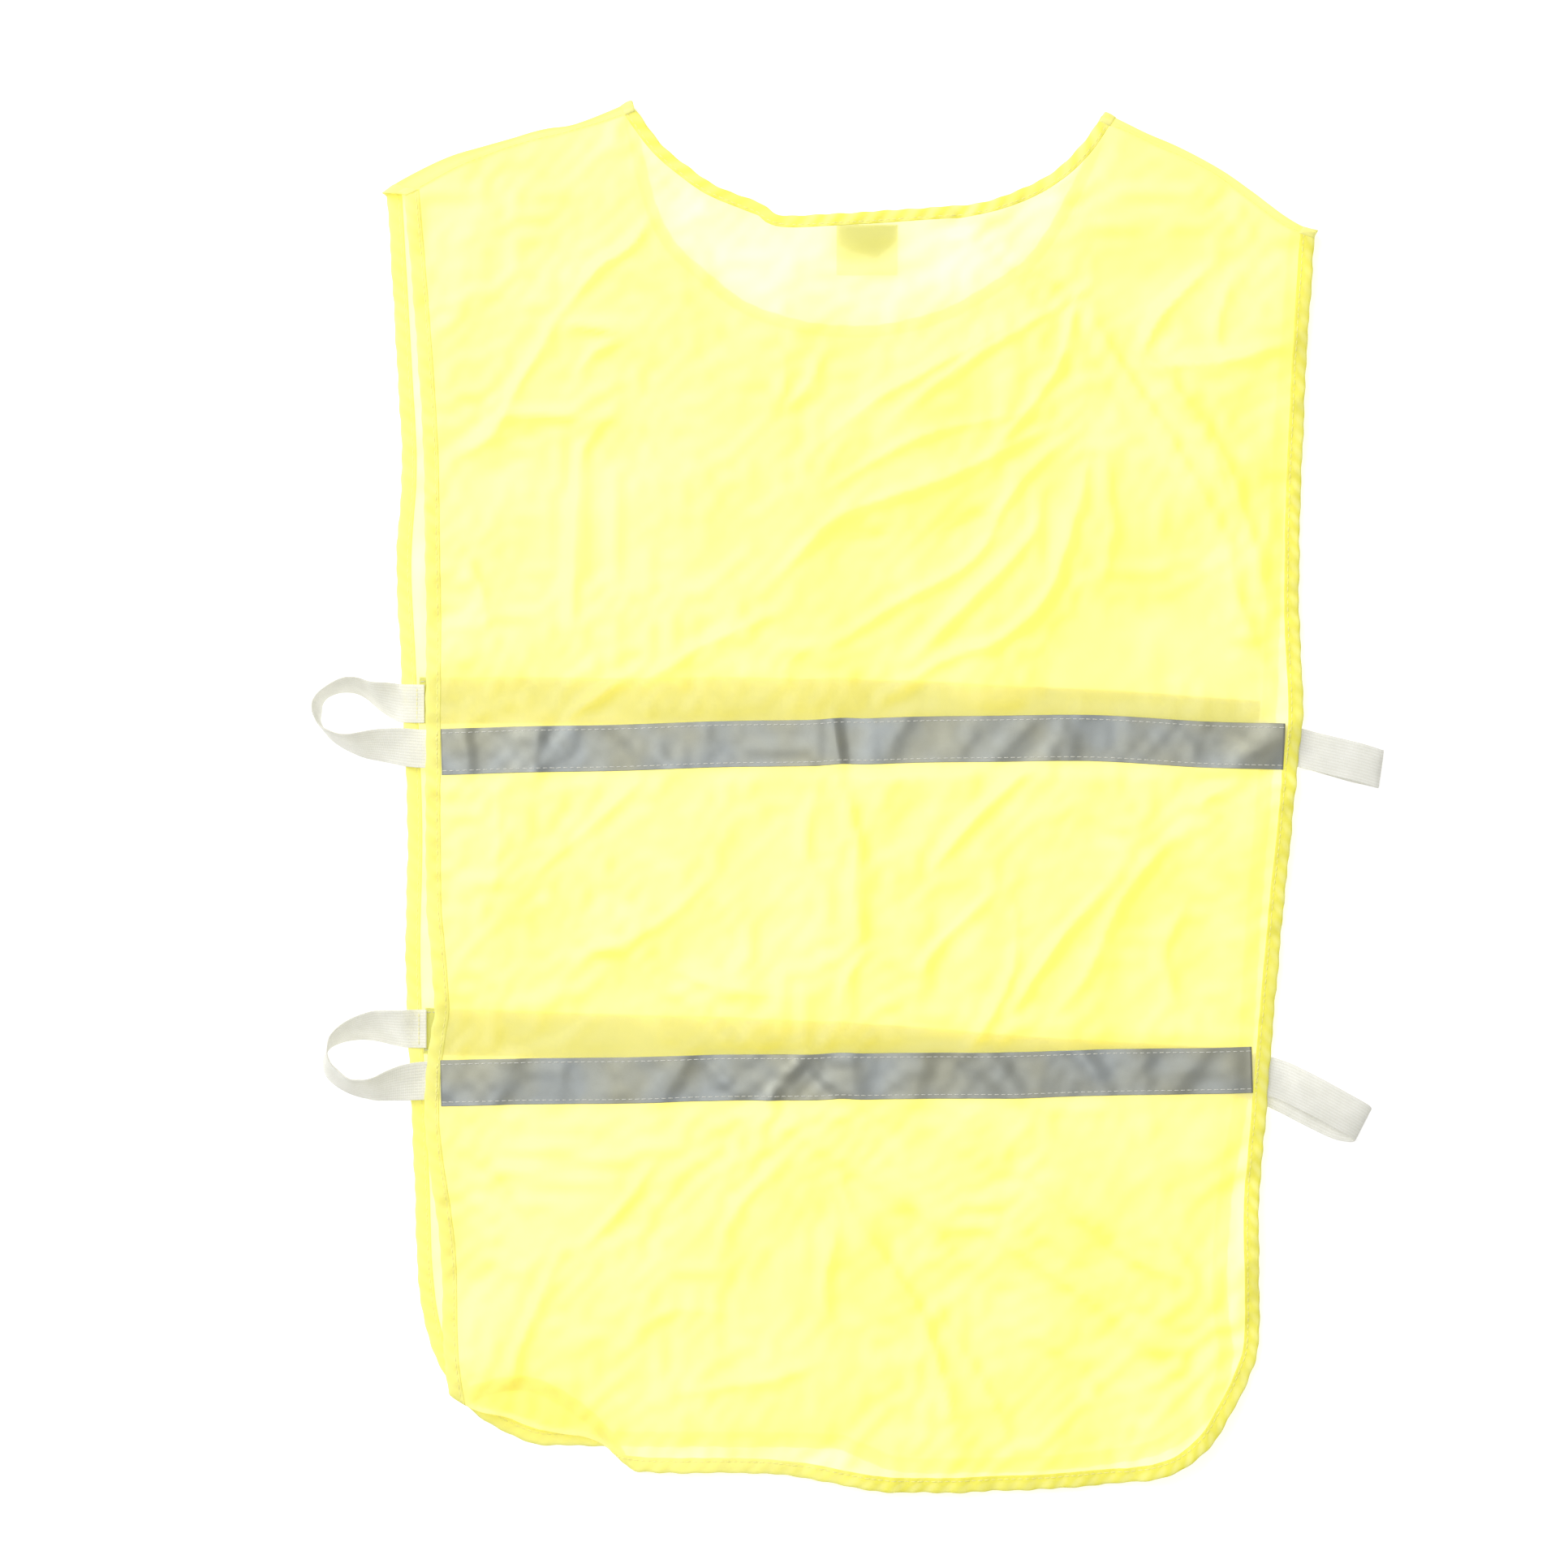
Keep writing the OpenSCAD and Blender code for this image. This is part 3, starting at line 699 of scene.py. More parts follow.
def make_piece(node, name, points, faces, uv, material, place=None):
    """A smooth shaded object that stands for a CAD node, from flat points in mm, or from real ones
    where place is None."""
    mesh = bpy.data.meshes.new(name)
    mesh.from_pydata(points.tolist(), [], faces)
    corner = read(mesh.loops, "vertex_index", 1, int)[:, 0]
    layer = mesh.uv_layers.new(name="flat")
    layer.data.foreach_set("uv", (uv[corner] * MM).astype(np.float32).ravel())
    if name in FOLDED_PIECES:
        cut_fold(mesh)
    co = read(mesh.vertices, "co")
    if place is not None:
        co = place(co)
    mesh.vertices.foreach_set("co", (co * MM).ravel())
    mesh.polygons.foreach_set("use_smooth", np.ones(len(mesh.polygons), bool))
    mesh.materials.append(material)
    mesh.update()
    pieces[node] = add_object(name, mesh)
    return pieces[node]


def add_attribute(o, name, values):
    a = o.data.attributes.new(name, "FLOAT", "POINT")
    a.data.foreach_set("value", values.astype(np.float32))


def follow(o, share):
    """Bakes a piece's place into its mesh; share, how much each point follows the back one, is not used."""
    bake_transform(o)


def patch(left, right, bottom, top):
    """Grid of points between four edges: left and right run upward, bottom and top to the right."""
    u = np.linspace(0, 1, len(bottom))[None, :, None]
    v = np.linspace(0, 1, len(left))[:, None, None]
    across = (1 - u) * left[:, None] + u * right[:, None]
    upward = (1 - v) * bottom[None] + v * top[None]
    corners = (1 - v) * ((1 - u) * bottom[0] + u * bottom[-1]) + v * ((1 - u) * top[0] + u * top[-1])
    return across + upward - corners


def moved_between(line, start, end):
    """A line moved and stretched to run from start to end."""
    t = np.linspace(0, 1, len(line))[:, None]
    return line + (1 - t) * (start - line[0]) + t * (end - line[-1])


def panel_grid(side, neck, rows, columns, corners, shoulders):
    """The grid of one panel. columns counts those of the left shoulder, the neck and the right one;
    corners are where the hem's are, as shares of the side line; shoulders are the shapes of its upper
    edges."""
    line = side + PANEL_MARGIN * inward(side)
    throat = (neck + PANEL_MARGIN * inward(neck))[::-1]
    a, b = (int(share * len(line)) for share in corners)
    left = resample(line[: a + 1][::-1], rows)
    right = resample(line[b:], rows)
    bottom = resample(line[a : b + 1], sum(columns) + 1)
    top = np.vstack([
        resample(moved_between(curve(shoulders[0]), left[-1], throat[0]), columns[0] + 1)[:-1],
        resample(throat, columns[1] + 1)[:-1],
        resample(moved_between(curve(shoulders[1])[::-1], throat[-1], right[-1]), columns[2] + 1),
    ])
    return patch(left, right, bottom, top)


def over_shoulders(points, first, last):
    """An outline of the lower layer, with its ends carried over the shoulders that it starts and ends
    at."""
    line = curve(points, 8)
    start = resample(np.stack([first.turned(line[0]), line[0]]), 8)[:-1]
    end = resample(np.stack([line[-1], last.turned(line[-1])]), 8)[1:]
    return by_spacing(np.vstack([start, line, end]), EDGE_SPACING)


EDGES = {
    ("back", "side"): by_spacing(curve(BACK_SIDE, 8), EDGE_SPACING),
    ("back", "neck"): by_spacing(curve(BACK_NECK, 8), EDGE_SPACING),
    ("front", "side"): over_shoulders(FRONT_SIDE, LEFT_SHOULDER, RIGHT_SHOULDER),
    ("front", "neck"): over_shoulders(FRONT_NECK, RIGHT_SHOULDER, LEFT_SHOULDER),
}


# ---------------------------------------------------------------------------------------------
# Materials
# ---------------------------------------------------------------------------------------------
class Recipe:
    """A node material under construction. Inputs are constants, or sockets to link."""

    def __init__(self, name):
        self.material = bpy.data.materials.new(name)
        self.material.use_nodes = True
        self.tree = self.material.node_tree
        self.tree.nodes.clear()

    def add(self, kind, inputs=(), **settings):
        n = self.tree.nodes.new(kind)
        for key, value in settings.items():
            setattr(n, key, value)
        for key, value in dict(inputs).items():
            if isinstance(value, bpy.types.NodeSocket):
                self.tree.links.new(value, n.inputs[key])
            else:
                n.inputs[key].default_value = value
        return n

    def math(self, operation, a, b, clamp=False, third=0.0):
        inputs = {0: a, 1: b, 2: third}
        return self.add("ShaderNodeMath", inputs, operation=operation, use_clamp=clamp).outputs[0]

    def blend(self, share, a, b):
        return self.add("ShaderNodeMix", {0: share, 6: a, 7: b}, data_type="RGBA").outputs[2]

    def stretch(self, value, low, high, to_low, to_high):
        return self.add(
            "ShaderNodeMapRange",
            {"Value": value, "From Min": low, "From Max": high, "To Min": to_low, "To Max": to_high},
        ).outputs[0]

    def tint(self, value, low, high, most, colour, other):
        """The colour, turning into the other by up to most as the value goes from low to high."""
        return self.blend(self.stretch(value, low, high, 0.0, most), colour, other)

    def flat(self):
        return self.add("ShaderNodeUVMap", uv_map="flat").outputs[0]

    def attribute(self, name):
        node = self.add("ShaderNodeAttribute", attribute_name=name, attribute_type="GEOMETRY")
        return node.outputs["Fac"]

    def noise(self, vector, scale, detail=2.0, roughness=0.5):
        return self.add(
            "ShaderNodeTexNoise",
            {"Vector": vector, "Scale": scale, "Detail": detail, "Roughness": roughness},
        ).outputs[0]

    def wave(self, vector, period, along="X", distortion=0.0):
        return self.add(
            "ShaderNodeTexWave",
            {"Vector": vector, "Scale": WAVE_SCALE / period, "Distortion": distortion, "Detail": 1.0},
            wave_type="BANDS", bands_direction=along,
        ).outputs[1]

    def bump(self, height, strength, distance):
        inputs = {"Height": height, "Strength": strength, "Distance": distance}
        return self.add("ShaderNodeBump", inputs).outputs[0]

    def surface(self, colour, normal, roughness, more, through=None):
        """What light does at the surface; through is the share of it that comes through from behind."""
        inputs = {"Base Color": colour, "Normal": normal, "Roughness": roughness, **more}
        lit = self.add("ShaderNodeBsdfPrincipled", inputs).outputs[0]
        if through is None:
            return lit
        glow = self.add("ShaderNodeBsdfTranslucent", {"Color": colour}).outputs[0]
        return self.add("ShaderNodeMixShader", {0: through, 1: lit, 2: glow}).outputs[0]

    def finish(self, surface):
        self.add("ShaderNodeOutputMaterial", {"Surface": surface})
        return self.material


def fabric_material(name, pale, deep, opacity, through, glow_strength):
    """Thin woven polyester: see-through between its threads, lit from both sides. The attribute "fold"
    holds painted shade: 0.4 on flat cloth, more in the shade of a fold and less where the cloth faces
    the light; it makes the colour deeper and the cloth more opaque."""
    r = Recipe(name)
    flat = r.flat()
    patchy = r.noise(flat, 26.0, 1.0, 0.55)
    grain = r.noise(flat, 900.0, 0.0, 0.6)
    warp, weft = (r.wave(flat, 0.00062, along) for along in "XY")
    cloth_grain = r.math("ADD", r.math("MULTIPLY", warp, weft), r.math("MULTIPLY", grain, 0.6))
    fold = r.attribute("fold")
    facing = r.add("ShaderNodeLayerWeight", {"Blend": 0.35}).outputs["Facing"]
    # Painted shade: the cloth is made more opaque where the fold attribute is high
    solid = r.math("MULTIPLY", r.math("SUBTRACT", fold, 0.4), 0.2)
    solid = r.math("ADD", solid, r.stretch(patchy, 0.3, 0.7, opacity - 0.025, opacity + 0.025))
    solid = r.math("ADD", solid, r.math("MULTIPLY", facing, 0.3), clamp=True)
    # Painted shade: the deep colour is blended in by the fold attribute, along with random patches
    tone = r.math("ADD", fold, r.stretch(patchy, 0.3, 0.7, -0.1, 0.1), clamp=True)
    # The emission is partly the dye's fluorescence and partly painted light: a glow that brightens the
    # cloth whatever the lamps
    body = r.surface(
        r.blend(tone, pale, deep), r.bump(cloth_grain, 0.25, 0.00012), 0.62,
        {"Sheen Weight": 0.15, "Sheen Roughness": 0.4, "Specular IOR Level": 0.25,
         "Emission Color": (1.0, 0.965, 0.06, 1), "Emission Strength": glow_strength}, through)
    clear = r.add("ShaderNodeBsdfTransparent").outputs[0]
    return r.finish(r.add("ShaderNodeMixShader", {0: solid, 1: clear, 2: body}).outputs[0])


def tape_material():
    """Retroreflective tape: grey with fine glass bead grain, slightly metallic. The attribute
    "backing" is 1 on its woven back."""
    r = Recipe("reflective_tape")
    flat = r.flat()
    beads = r.noise(flat, 2600.0, 2.0, 0.7)
    # The tape is made darker in random patches
    dark_patches = r.noise(flat, 60.0, 4.0, 0.6)
    # Warm and cool patches: partly the tape's own tone, partly painted reflection of the yellow cloth in
    # the beads
    cool = r.noise(flat, 24.0, 2.0, 0.5)
    colour = r.tint(cool, 0.38, 0.62, 1.0, (0.30, 0.30, 0.225, 1), (0.275, 0.302, 0.305, 1))
    colour = r.tint(dark_patches, 0.45, 0.75, 0.35, colour, (0.16, 0.165, 0.14, 1))
    colour = r.tint(beads, 0.3, 0.8, 0.45, colour, (0.42, 0.42, 0.37, 1))
    colour = r.blend(r.attribute("backing"), colour, (0.40, 0.46, 0.03, 1))
    return r.finish(r.surface(
        colour, r.bump(beads, 0.35, 0.00015), r.stretch(beads, 0.2, 0.8, 0.36, 0.52),
        {"Metallic": 0.38, "Specular IOR Level": 0.45}))


def elastic_material():
    """Knitted elastic: ivory ribs along the band, with fine stitches across them."""
    r = Recipe("elastic")
    flat = r.flat()
    knit = r.wave(flat, 0.0011, "X", 0.5)
    yarn = r.noise(flat, 1500.0, 3.0, 0.6)
    shade = r.noise(flat, 90.0, 3.0, 0.5)
    # Painted shade: thin darker lines at the ribs' spacing, for the shade in the grooves between the ribs
    ribs = r.math("POWER", r.wave(flat, 0.0016, "Y"), 3.0)
    colour = r.tint(shade, 0.35, 0.65, 1.0, (0.85, 0.85, 0.80, 1), (0.92, 0.92, 0.88, 1))
    colour = r.tint(yarn, 0.35, 0.75, 0.4, colour, (0.66, 0.64, 0.55, 1))
    colour = r.blend(r.math("MULTIPLY", ribs, 0.25), colour, (0.6, 0.58, 0.48, 1))
    height = r.math("ADD", r.math("MULTIPLY", knit, 0.7), yarn)
    # Painted light: the elastic glows faintly so that it looks brighter, though it is no lamp
    return r.finish(r.surface(
        colour, r.bump(height, 0.4, 0.00025), 0.75,
        {"Sheen Weight": 0.25, "Emission Color": (1.0, 1.0, 0.98, 1), "Emission Strength": 0.12}, 0.35))


def label_material():
    """Satin label tape, with the fine cross lines of its weave. Above a crease it clings to the cloth,
    and there its colour is painted darker and greener, as painted shade close under the cloth."""
    r = Recipe("label")
    flat = r.flat()
    lines = r.wave(flat, 0.0007, "Y", 0.4)
    fibre = r.noise(flat, 1200.0, 3.0, 0.6)
    across, down = r.add("ShaderNodeSeparateXYZ", {0: flat}).outputs[:2]
    # The crease falls from the left edge and climbs again to the right one
    left = r.math("MULTIPLY_ADD", across, 0.33, third=0.01635)
    right = r.math("MULTIPLY_ADD", across, -0.87, third=0.02235)
    past_crease = r.math("SUBTRACT", down, r.math("MINIMUM", left, right))
    share = r.stretch(past_crease, -0.0004, 0.0004, 0.0, 1.0)
    # Painted shade: above the crease the label is given a darker, greener colour
    colour = r.blend(share, (0.60, 0.63, 0.03, 1), (0.86, 0.90, 0.64, 1))
    colour = r.tint(fibre, 0.3, 0.7, 0.25, colour, (0.5, 0.56, 0.26, 1))
    normal = r.bump(r.math("ADD", lines, fibre), 0.3, 0.0001)
    return r.finish(r.surface(colour, normal, 0.5, {"Sheen Weight": 0.2}, 0.3))


def thread_material(name, pale, dark):
    """Spun polyester thread with its twist."""
    r = Recipe(name)
    flat = r.flat()
    twist = r.wave(flat, 0.0006, "DIAGONAL", 0.6)
    colour = r.blend(r.math("MULTIPLY", twist, r.noise(flat, 700.0, 2.0, 0.6)), pale, dark)
    return r.finish(r.surface(colour, r.bump(twist, 0.5, 0.0001), 0.6, {"Sheen Weight": 0.3}))


# Each fabric's pale and deep colours; the deep one is painted shade where the fold attribute is high
CLOTH = fabric_material(
    "fluorescent_cloth", (1.0, 0.96, 0.64, 1), (0.97, 0.90, 0.345, 1), 0.775, 0.58, 0.28)
BINDING = fabric_material(
    "binding_cloth", (0.93, 0.93, 0.53, 1), (0.84, 0.82, 0.17, 1), 0.86, 0.35, 0.12)
TAPE = tape_material()
ELASTIC = elastic_material()
LABEL = label_material()
YELLOW_THREAD = thread_material("yellow_thread", (0.96, 0.90, 0.36, 1), (0.88, 0.80, 0.22, 1))
WHITE_THREAD = thread_material("white_thread", (0.66, 0.66, 0.60, 1), (0.42, 0.42, 0.38, 1))

# ---------------------------------------------------------------------------------------------
# Pieces
# ---------------------------------------------------------------------------------------------
BEND_LENGTH = 105  # from the shoulder seams down to where the upper layer moves as one


def back_share(xy):
    """How much a point of the upper layer follows the back: 0 at a shoulder seam, 1 away from it."""
    d = np.minimum(*[distance_to(np.asarray(seam, float), xy)[0] for seam in (LEFT_SEAM, RIGHT_SEAM)])
    return smooth(d / BEND_LENGTH)


def panel(layer, rows, columns, corners, shoulders, creases):
    """One layer's cloth, with how deep its colour is at each point, mostly painted shade: deeper on the
    sides that face away from the light and along the creases."""
    grid = panel_grid(EDGES[layer, "side"], EDGES[layer, "neck"], rows, columns, corners, shoulders)
    flat = grid.reshape(-1, 2)
    points = np.column_stack([flat, np.zeros(len(flat))])
    faces = grid_faces(*grid.shape[:2]).tolist()
    o = make_piece(f"{layer}_panel", f"{layer}_cloth", points, faces, flat, CLOTH, PLACES[layer])
    xy = real_places(o)[:, :2]
    # Painted shade: the colour is made deeper where the cloth slopes away from the light
    slope = read(o.data.vertices, "normal")[:, :2] @ FROM_LIGHT
    # The crease term is painted shade on the side of each crease that faces away from the light
    painted_shade_and_tone = 0.4 + 1.25 * slope + 0.33 * np.clip(ridge_heights(xy, creases, 1.0, True), 0, 1.6)
    if layer == "back":
        for x, y, wide, tall, strength in TONES:
            painted_shade_and_tone += 0.5 * strength * mound(xy, (x, y), (wide, tall))
        # Painted highlight: the colour is made paler along the edge of the folded corner
        painted_shade_and_tone -= 1.2 * bell(past_fold(xy) / 1.5)
    add_attribute(o, "fold", np.clip(painted_shade_and_tone, -0.3, 1.2))
    return o


back_cloth = panel("back", 300, (54, 100, 48), (0.355, 0.61), (LEFT_SEAM, RIGHT_SEAM), CREASES)
front_cloth = panel("front", 230, (44, 84, 38), (0.372, 0.60), (LEFT_EDGE, RIGHT_EDGE), FRONT_CREASES)

# The section of a folded binding, from its top inner edge round the cloth's edge to the bottom inner
# one: share of the width, height, and how much the puckers lift it
SECTION = np.array([1.0, 0.93, 0.81, 0.77, 0.70, 0.45, 0.2, 0.06, 0.0, 0.06, 0.2, 0.5, 0.8, 1.0])
SECTION_LIFT = np.array(
    [0.12, 0.33, 0.36, 0.34, 0.48, 0.66, 0.66, 0.46, 0.0, -0.4, -0.55, -0.5, -0.35, -0.12])
SECTION_PUCKER = np.array([0, 1, 0.6, 0.5, 1, 1, 1, 0.6, 0, -0.4, -0.6, -0.6, -0.4, 0]) * np.sin(
    np.pi * np.clip(SECTION, 0.05, 0.95))


def binding(layer, part, seed, tone, pucker_shade, period, hidden=0.0, lined=0.0):
    """Folded binding swept along an edge, puckered by its stitches. tone says how deep its colour is, and
    stripes how much painted shade the puckers add to it, each on the left and on the right; hidden makes
    what the upper layer covers paler; lined darkens the inner part on the right, where the lower
    layer's binding lies behind it."""
    edge, width = EDGES[layer, part], WIDTHS[part]
    s = lengths(edge)
    wander = np.cumsum(np.random.default_rng(seed).normal(0, 0.16, len(edge)))

    def pucker_turn(along, across, drift):
        return 2 * np.pi * (along - 0.9 * across) / period + 0.6 * drift

    d = SECTION[None, :] * width
    turn = pucker_turn(s[:, None], d, wander[:, None])
    pucker = 0.2 * np.sin(turn) + 0.08 * np.sin(2.3 * turn + 1)
    edge_wave = 0.22 * np.sin(2 * np.pi * s / 12.5 + wander * 0.6) + 0.16 * np.sin(2 * np.pi * s / 37 + 1)
    d = d + (edge_wave[:, None] * (1 - SECTION[None, :]))
    xy = edge[:, None, :] + inward(edge)[:, None, :] * d[..., None]
    dz = SECTION_LIFT[None, :] + SECTION_PUCKER[None, :] * pucker
    points = np.concatenate([xy, dz[..., None]], -1).reshape(-1, 3)
    faces = [face[::-1] for face in tube_faces(*d.shape)]
    o = make_piece(
        f"{layer}_{part}_binding", f"{layer}_{part}_edging", points, faces, band_uv(s, d), BINDING,
        PLACES[layer])

    # The way along and across at each point, read back because the fold's cut has added points
    real = real_places(o)
    run = np.empty((len(real), 2))
    run[read(o.data.loops, "vertex_index", 1, int)[:, 0]] = read(o.data.uv_layers[0].data, "uv", 2) / MM
    along, across = run.T
    right = smooth((real[:, 0] + 30) / 60)
    turn = pucker_turn(along, across, np.interp(along, s, wander))
    uneven = 0.65 + 0.35 * np.sin(along / 17 + seed) * np.sin(along / 41)
    painted_shade_and_tone = tone[0] + (tone[1] - tone[0]) * right
    # Painted shade: the colour deepens and pales in stripes with the turn of the puckers
    painted_shade_and_tone += (pucker_shade[0] + (pucker_shade[1] - pucker_shade[0]) * right) * uneven * np.sin(turn)
    painted_shade_and_tone += lined * right * smooth((across / width - 0.45) / 0.25)
    painted_shade_and_tone[inside(BACK_OUTLINE, real[:, :2]) & (past_fold(real[:, :2]) > 0)] -= hidden
    add_attribute(o, "fold", painted_shade_and_tone)


binding("back", "side", 1, (0.45, 0.72), (0.1, 0.34), 8.8, lined=0.35)
binding("back", "neck", 2, (0.75, 0.65), (0.3, 0.42), 11.0)
binding("front", "side", 3, (0.45, 0.4), (0.1, 0.2), 8.8, hidden=1.2)
binding("front", "neck", 4, (0.5, 0.4), (0.2, 0.2), 11.0, hidden=0.7)


def tape_line(line, spacing):
    """The middle of a tape, pushed up and down a little where the cloth under it is gathered."""
    middle = by_spacing(curve(line, 8), spacing)
    x = middle[:, 0]
    middle[:, 1] += 0.45 * np.sin(x / 23 + 1) * np.sin(x / 61) + 0.8 * bell((x + 4) / 9)
    return middle


def tape(layer, part, line, dz):
    """Reflective tape laid along a line; dz is the height of its middle above its fabric."""
    middle = tape_line(line, 1.25)
    across = np.concatenate([[-1, -0.985], np.linspace(-0.965, 0.965, 17), [0.985, 1]]) * TAPE_W / 2
    count = len(across)
    ring = np.concatenate([across, across[::-1]])
    face = np.concatenate([np.full(count, 0.16), np.full(count, -0.16)])
    face[[0, count - 1, count, -1]] *= 0.45
    xy = middle[:, None] + inward(middle)[:, None] * ring[None, :, None]
    rows, cols = xy.shape[:2]
    points = np.concatenate([xy, np.broadcast_to(dz + face, (rows, cols))[..., None]], -1).reshape(-1, 3)
    o = make_piece(
        f"{layer}_{part}_tape", f"{layer}_{part}_reflector", points, tube_faces(rows, cols),
        band_uv(lengths(middle), ring), TAPE, PLACES[layer])
    add_attribute(o, "backing", np.tile((face * -np.sign(dz) > 0).astype(float), rows))


TAPE_LINES = {
    "back": {"upper": BACK_UPPER_TAPE, "lower": BACK_LOWER_TAPE},
    "front": {"upper": FRONT_UPPER_TAPE, "lower": FRONT_LOWER_TAPE},
}
TAPE_LIFT = {"back": 0.3, "front": -0.3}
for layer, lines in TAPE_LINES.items():
    for part, line in lines.items():
        tape(layer, part, line, TAPE_LIFT[layer])


def stitches(node, name, rows, place, material, length=2.7, pitch=3.6, thick=0.23):
    """Rows of single stitches. Each row is a line of flat points and the height that they lie at."""
    ring = np.linspace(0, 2 * np.pi, 6, endpoint=False)
    along = np.array([-0.5, -0.36, 0.0, 0.36, 0.5])
    girth = np.array([0.45, 0.95, 1.0, 0.95, 0.45])
    sink = np.array([-0.75, -0.15, 0.12, -0.15, -0.75])
    points, uv = [], []
    for line, height in rows:
        ends = by_spacing(line, pitch)
        middles = ends[:-1] + np.diff(ends, axis=0) / 2
        sizes = 1 + 0.08 * rng.standard_normal(len(middles))
        for c, a, b, size in zip(middles, directions(ends), inward(ends), sizes):
            a = a + rng.normal(0, 0.03) * b
            round_it = (girth[:, None] * np.cos(ring) * thick)[..., None] * b
            x = c + along[:, None, None] * size * length * a + round_it
            z = height + girth[:, None] * np.sin(ring) * thick + sink[:, None] * thick
            points.append(np.concatenate([x, z[..., None]], -1).reshape(-1, 3))
            uv.append(band_uv(along * length, ring * thick) + c)
    one, count = tube_faces(len(along), len(ring)), len(along) * len(ring)
    faces = [[v + count * k for v in face] for k in range(len(points)) for face in one]
    make_piece(node, name, np.vstack(points), faces, np.vstack(uv), material, place)


def beside(edge, distance):
    return edge + distance * inward(edge)


def tape_rows(lines):
    """The two rows of stitches along each tape."""
    off = TAPE_W / 2 - TAPE_STITCH_IN
    return [beside(tape_line(line, 2.0), side * off) for line in lines.values() for side in (-1, 1)]


for (layer, part), edge in EDGES.items():
    stitches(
        f"{layer}_{part}_stitching", f"{layer}_{part}_stitches",
        [(beside(edge, STITCH_LINE * WIDTHS[part]), 0.46)], PLACES[layer], YELLOW_THREAD)
for layer, height in (("back", 0.52), ("front", 0.12)):
    stitches(
        f"{layer}_tape_stitching", f"{layer}_tape_stitches",
        [(line, height) for line in tape_rows(TAPE_LINES[layer])], PLACES[layer], WHITE_THREAD)
# Stitches along each shoulder seam, in the fabric that has turned over the shoulder
for side, shoulder in (("left", LEFT_SHOULDER), ("right", RIGHT_SHOULDER)):
    run = shoulder.run / np.sqrt(shoulder.size)
    base = shoulder.out * (shoulder.arc + SHOULDER_LAP - 1.1)
    line = np.stack([shoulder.edge[0] + 9 * run + base, shoulder.edge[1] - 8 * run + base])
    stitches(
        f"{side}_shoulder_stitching", f"{side}_shoulder_stitches", [(resample(line, 60), -0.2)],
        place_front, YELLOW_THREAD)

# Elastic loops: upper and lower edge of the band in plan, from the front end to the back end
LEFT_UPPER = [
    (-229.5, 60.6, -229.5, 39.4), (-236, 60.6, -236, 39.6), (-244.2, 60.8, -242.7, 40.3),
    (-256, 61.6, -251.2, 44.5), (-261.8, 63.1, -256, 48.4), (-265.4, 64, -260.7, 52.5),
    (-269.5, 64.2, -266, 55.4), (-273.6, 63.2, -272.5, 56.3), (-279.5, 60.1, -277.8, 55.4),
    (-284.9, 56, -282.5, 53.1), (-287.8, 51.9, -285.1, 49.5), (-288.5, 47.8, -285.6, 45.5),
    (-287.5, 43.6, -286.1, 40.1), (-284.5, 38.4, -283.1, 34.2), (-279, 35.1, -279.5, 30.1),
    (-273.6, 33.5, -273.6, 26), (-268.9, 33.5, -267.7, 23), (-264.2, 34.4, -261.8, 20.7),
    (-256, 36, -253, 18.9), (-247.1, 36.7, -244.2, 17.2), (-238.3, 36.4, -238.3, 16.1),
    (-229.5, 36, -229.5, 15.2), (-221, 36, -221, 15.2),
]
LEFT_LOWER = [
    (-228.5, -115.5, -228.5, -136.5), (-235, -115.5, -235, -136.3), (-242, -115.8, -241, -135.7),
    (-250.1, -115.5, -247.5, -134.4), (-256, -115.5, -253.2, -133.1), (-261.8, -117, -259, -132.2),
    (-267.7, -119.3, -265.1, -132), (-273.6, -122.9, -270.8, -132.6), (-277.8, -127, -276.1, -134.1),
    (-279.5, -130.5, -280.7, -136.4), (-280.2, -135.3, -283.4, -140), (-280.1, -139.4, -284.7, -144.7),
    (-278.3, -143.5, -284.2, -148.8), (-274.8, -147, -281.9, -153.2), (-271.3, -150, -276.6, -157.7),
    (-267.7, -152.1, -270.7, -160.9), (-263.6, -152.3, -264.8, -162.9), (-259.5, -152.1, -260.7, -163.8),
    (-254.8, -150.6, -256, -164.7), (-250.1, -148.2, -251, -164.7), (-245.3, -146.2, -245.7, -164.6),
    (-238.3, -144.4, -238.3, -164.3), (-228.3, -143.5, -228.8, -164), (-220, -143.5, -220, -164),
]
# The right loops lie flatter, so their rows hold heights too: upper x, y, z and lower x, y, z
RIGHT_UPPER = [
    (220, 41, None, 217, 20, None), (226, 40.5, None, 223, 19.5, None),
    (233.5, 39.3, None, 231, 18.3, None), (241, 37.8, 1.8, 238.5, 17, 1.8), (254, 34.5, 1, 251, 13.8, 1),
    (266, 31.2, 0.9, 262, 10.4, 0.9), (276, 28.2, 0.9, 272, 7.6, 0.9), (284.5, 26.2, 1.5, 281.5, 5.6, 1.5),
    (288, 25.3, 3, 285, 4.7, 3), (289.2, 25, 4.6, 286.2, 4.3, 4.6), (286.5, 25.8, 6.8, 283.5, 5.1, 6.8),
    (278, 28.4, 7.8, 275, 7.7, 7.8), (262, 32.4, 7.2, 259, 11.6, 7.2), (250, 35.2, 5.8, 247.6, 14.5, 5.8),
    (240, 37.6, None, 239, 16.7, None), (230, 39, None, 230, 18, None),
]
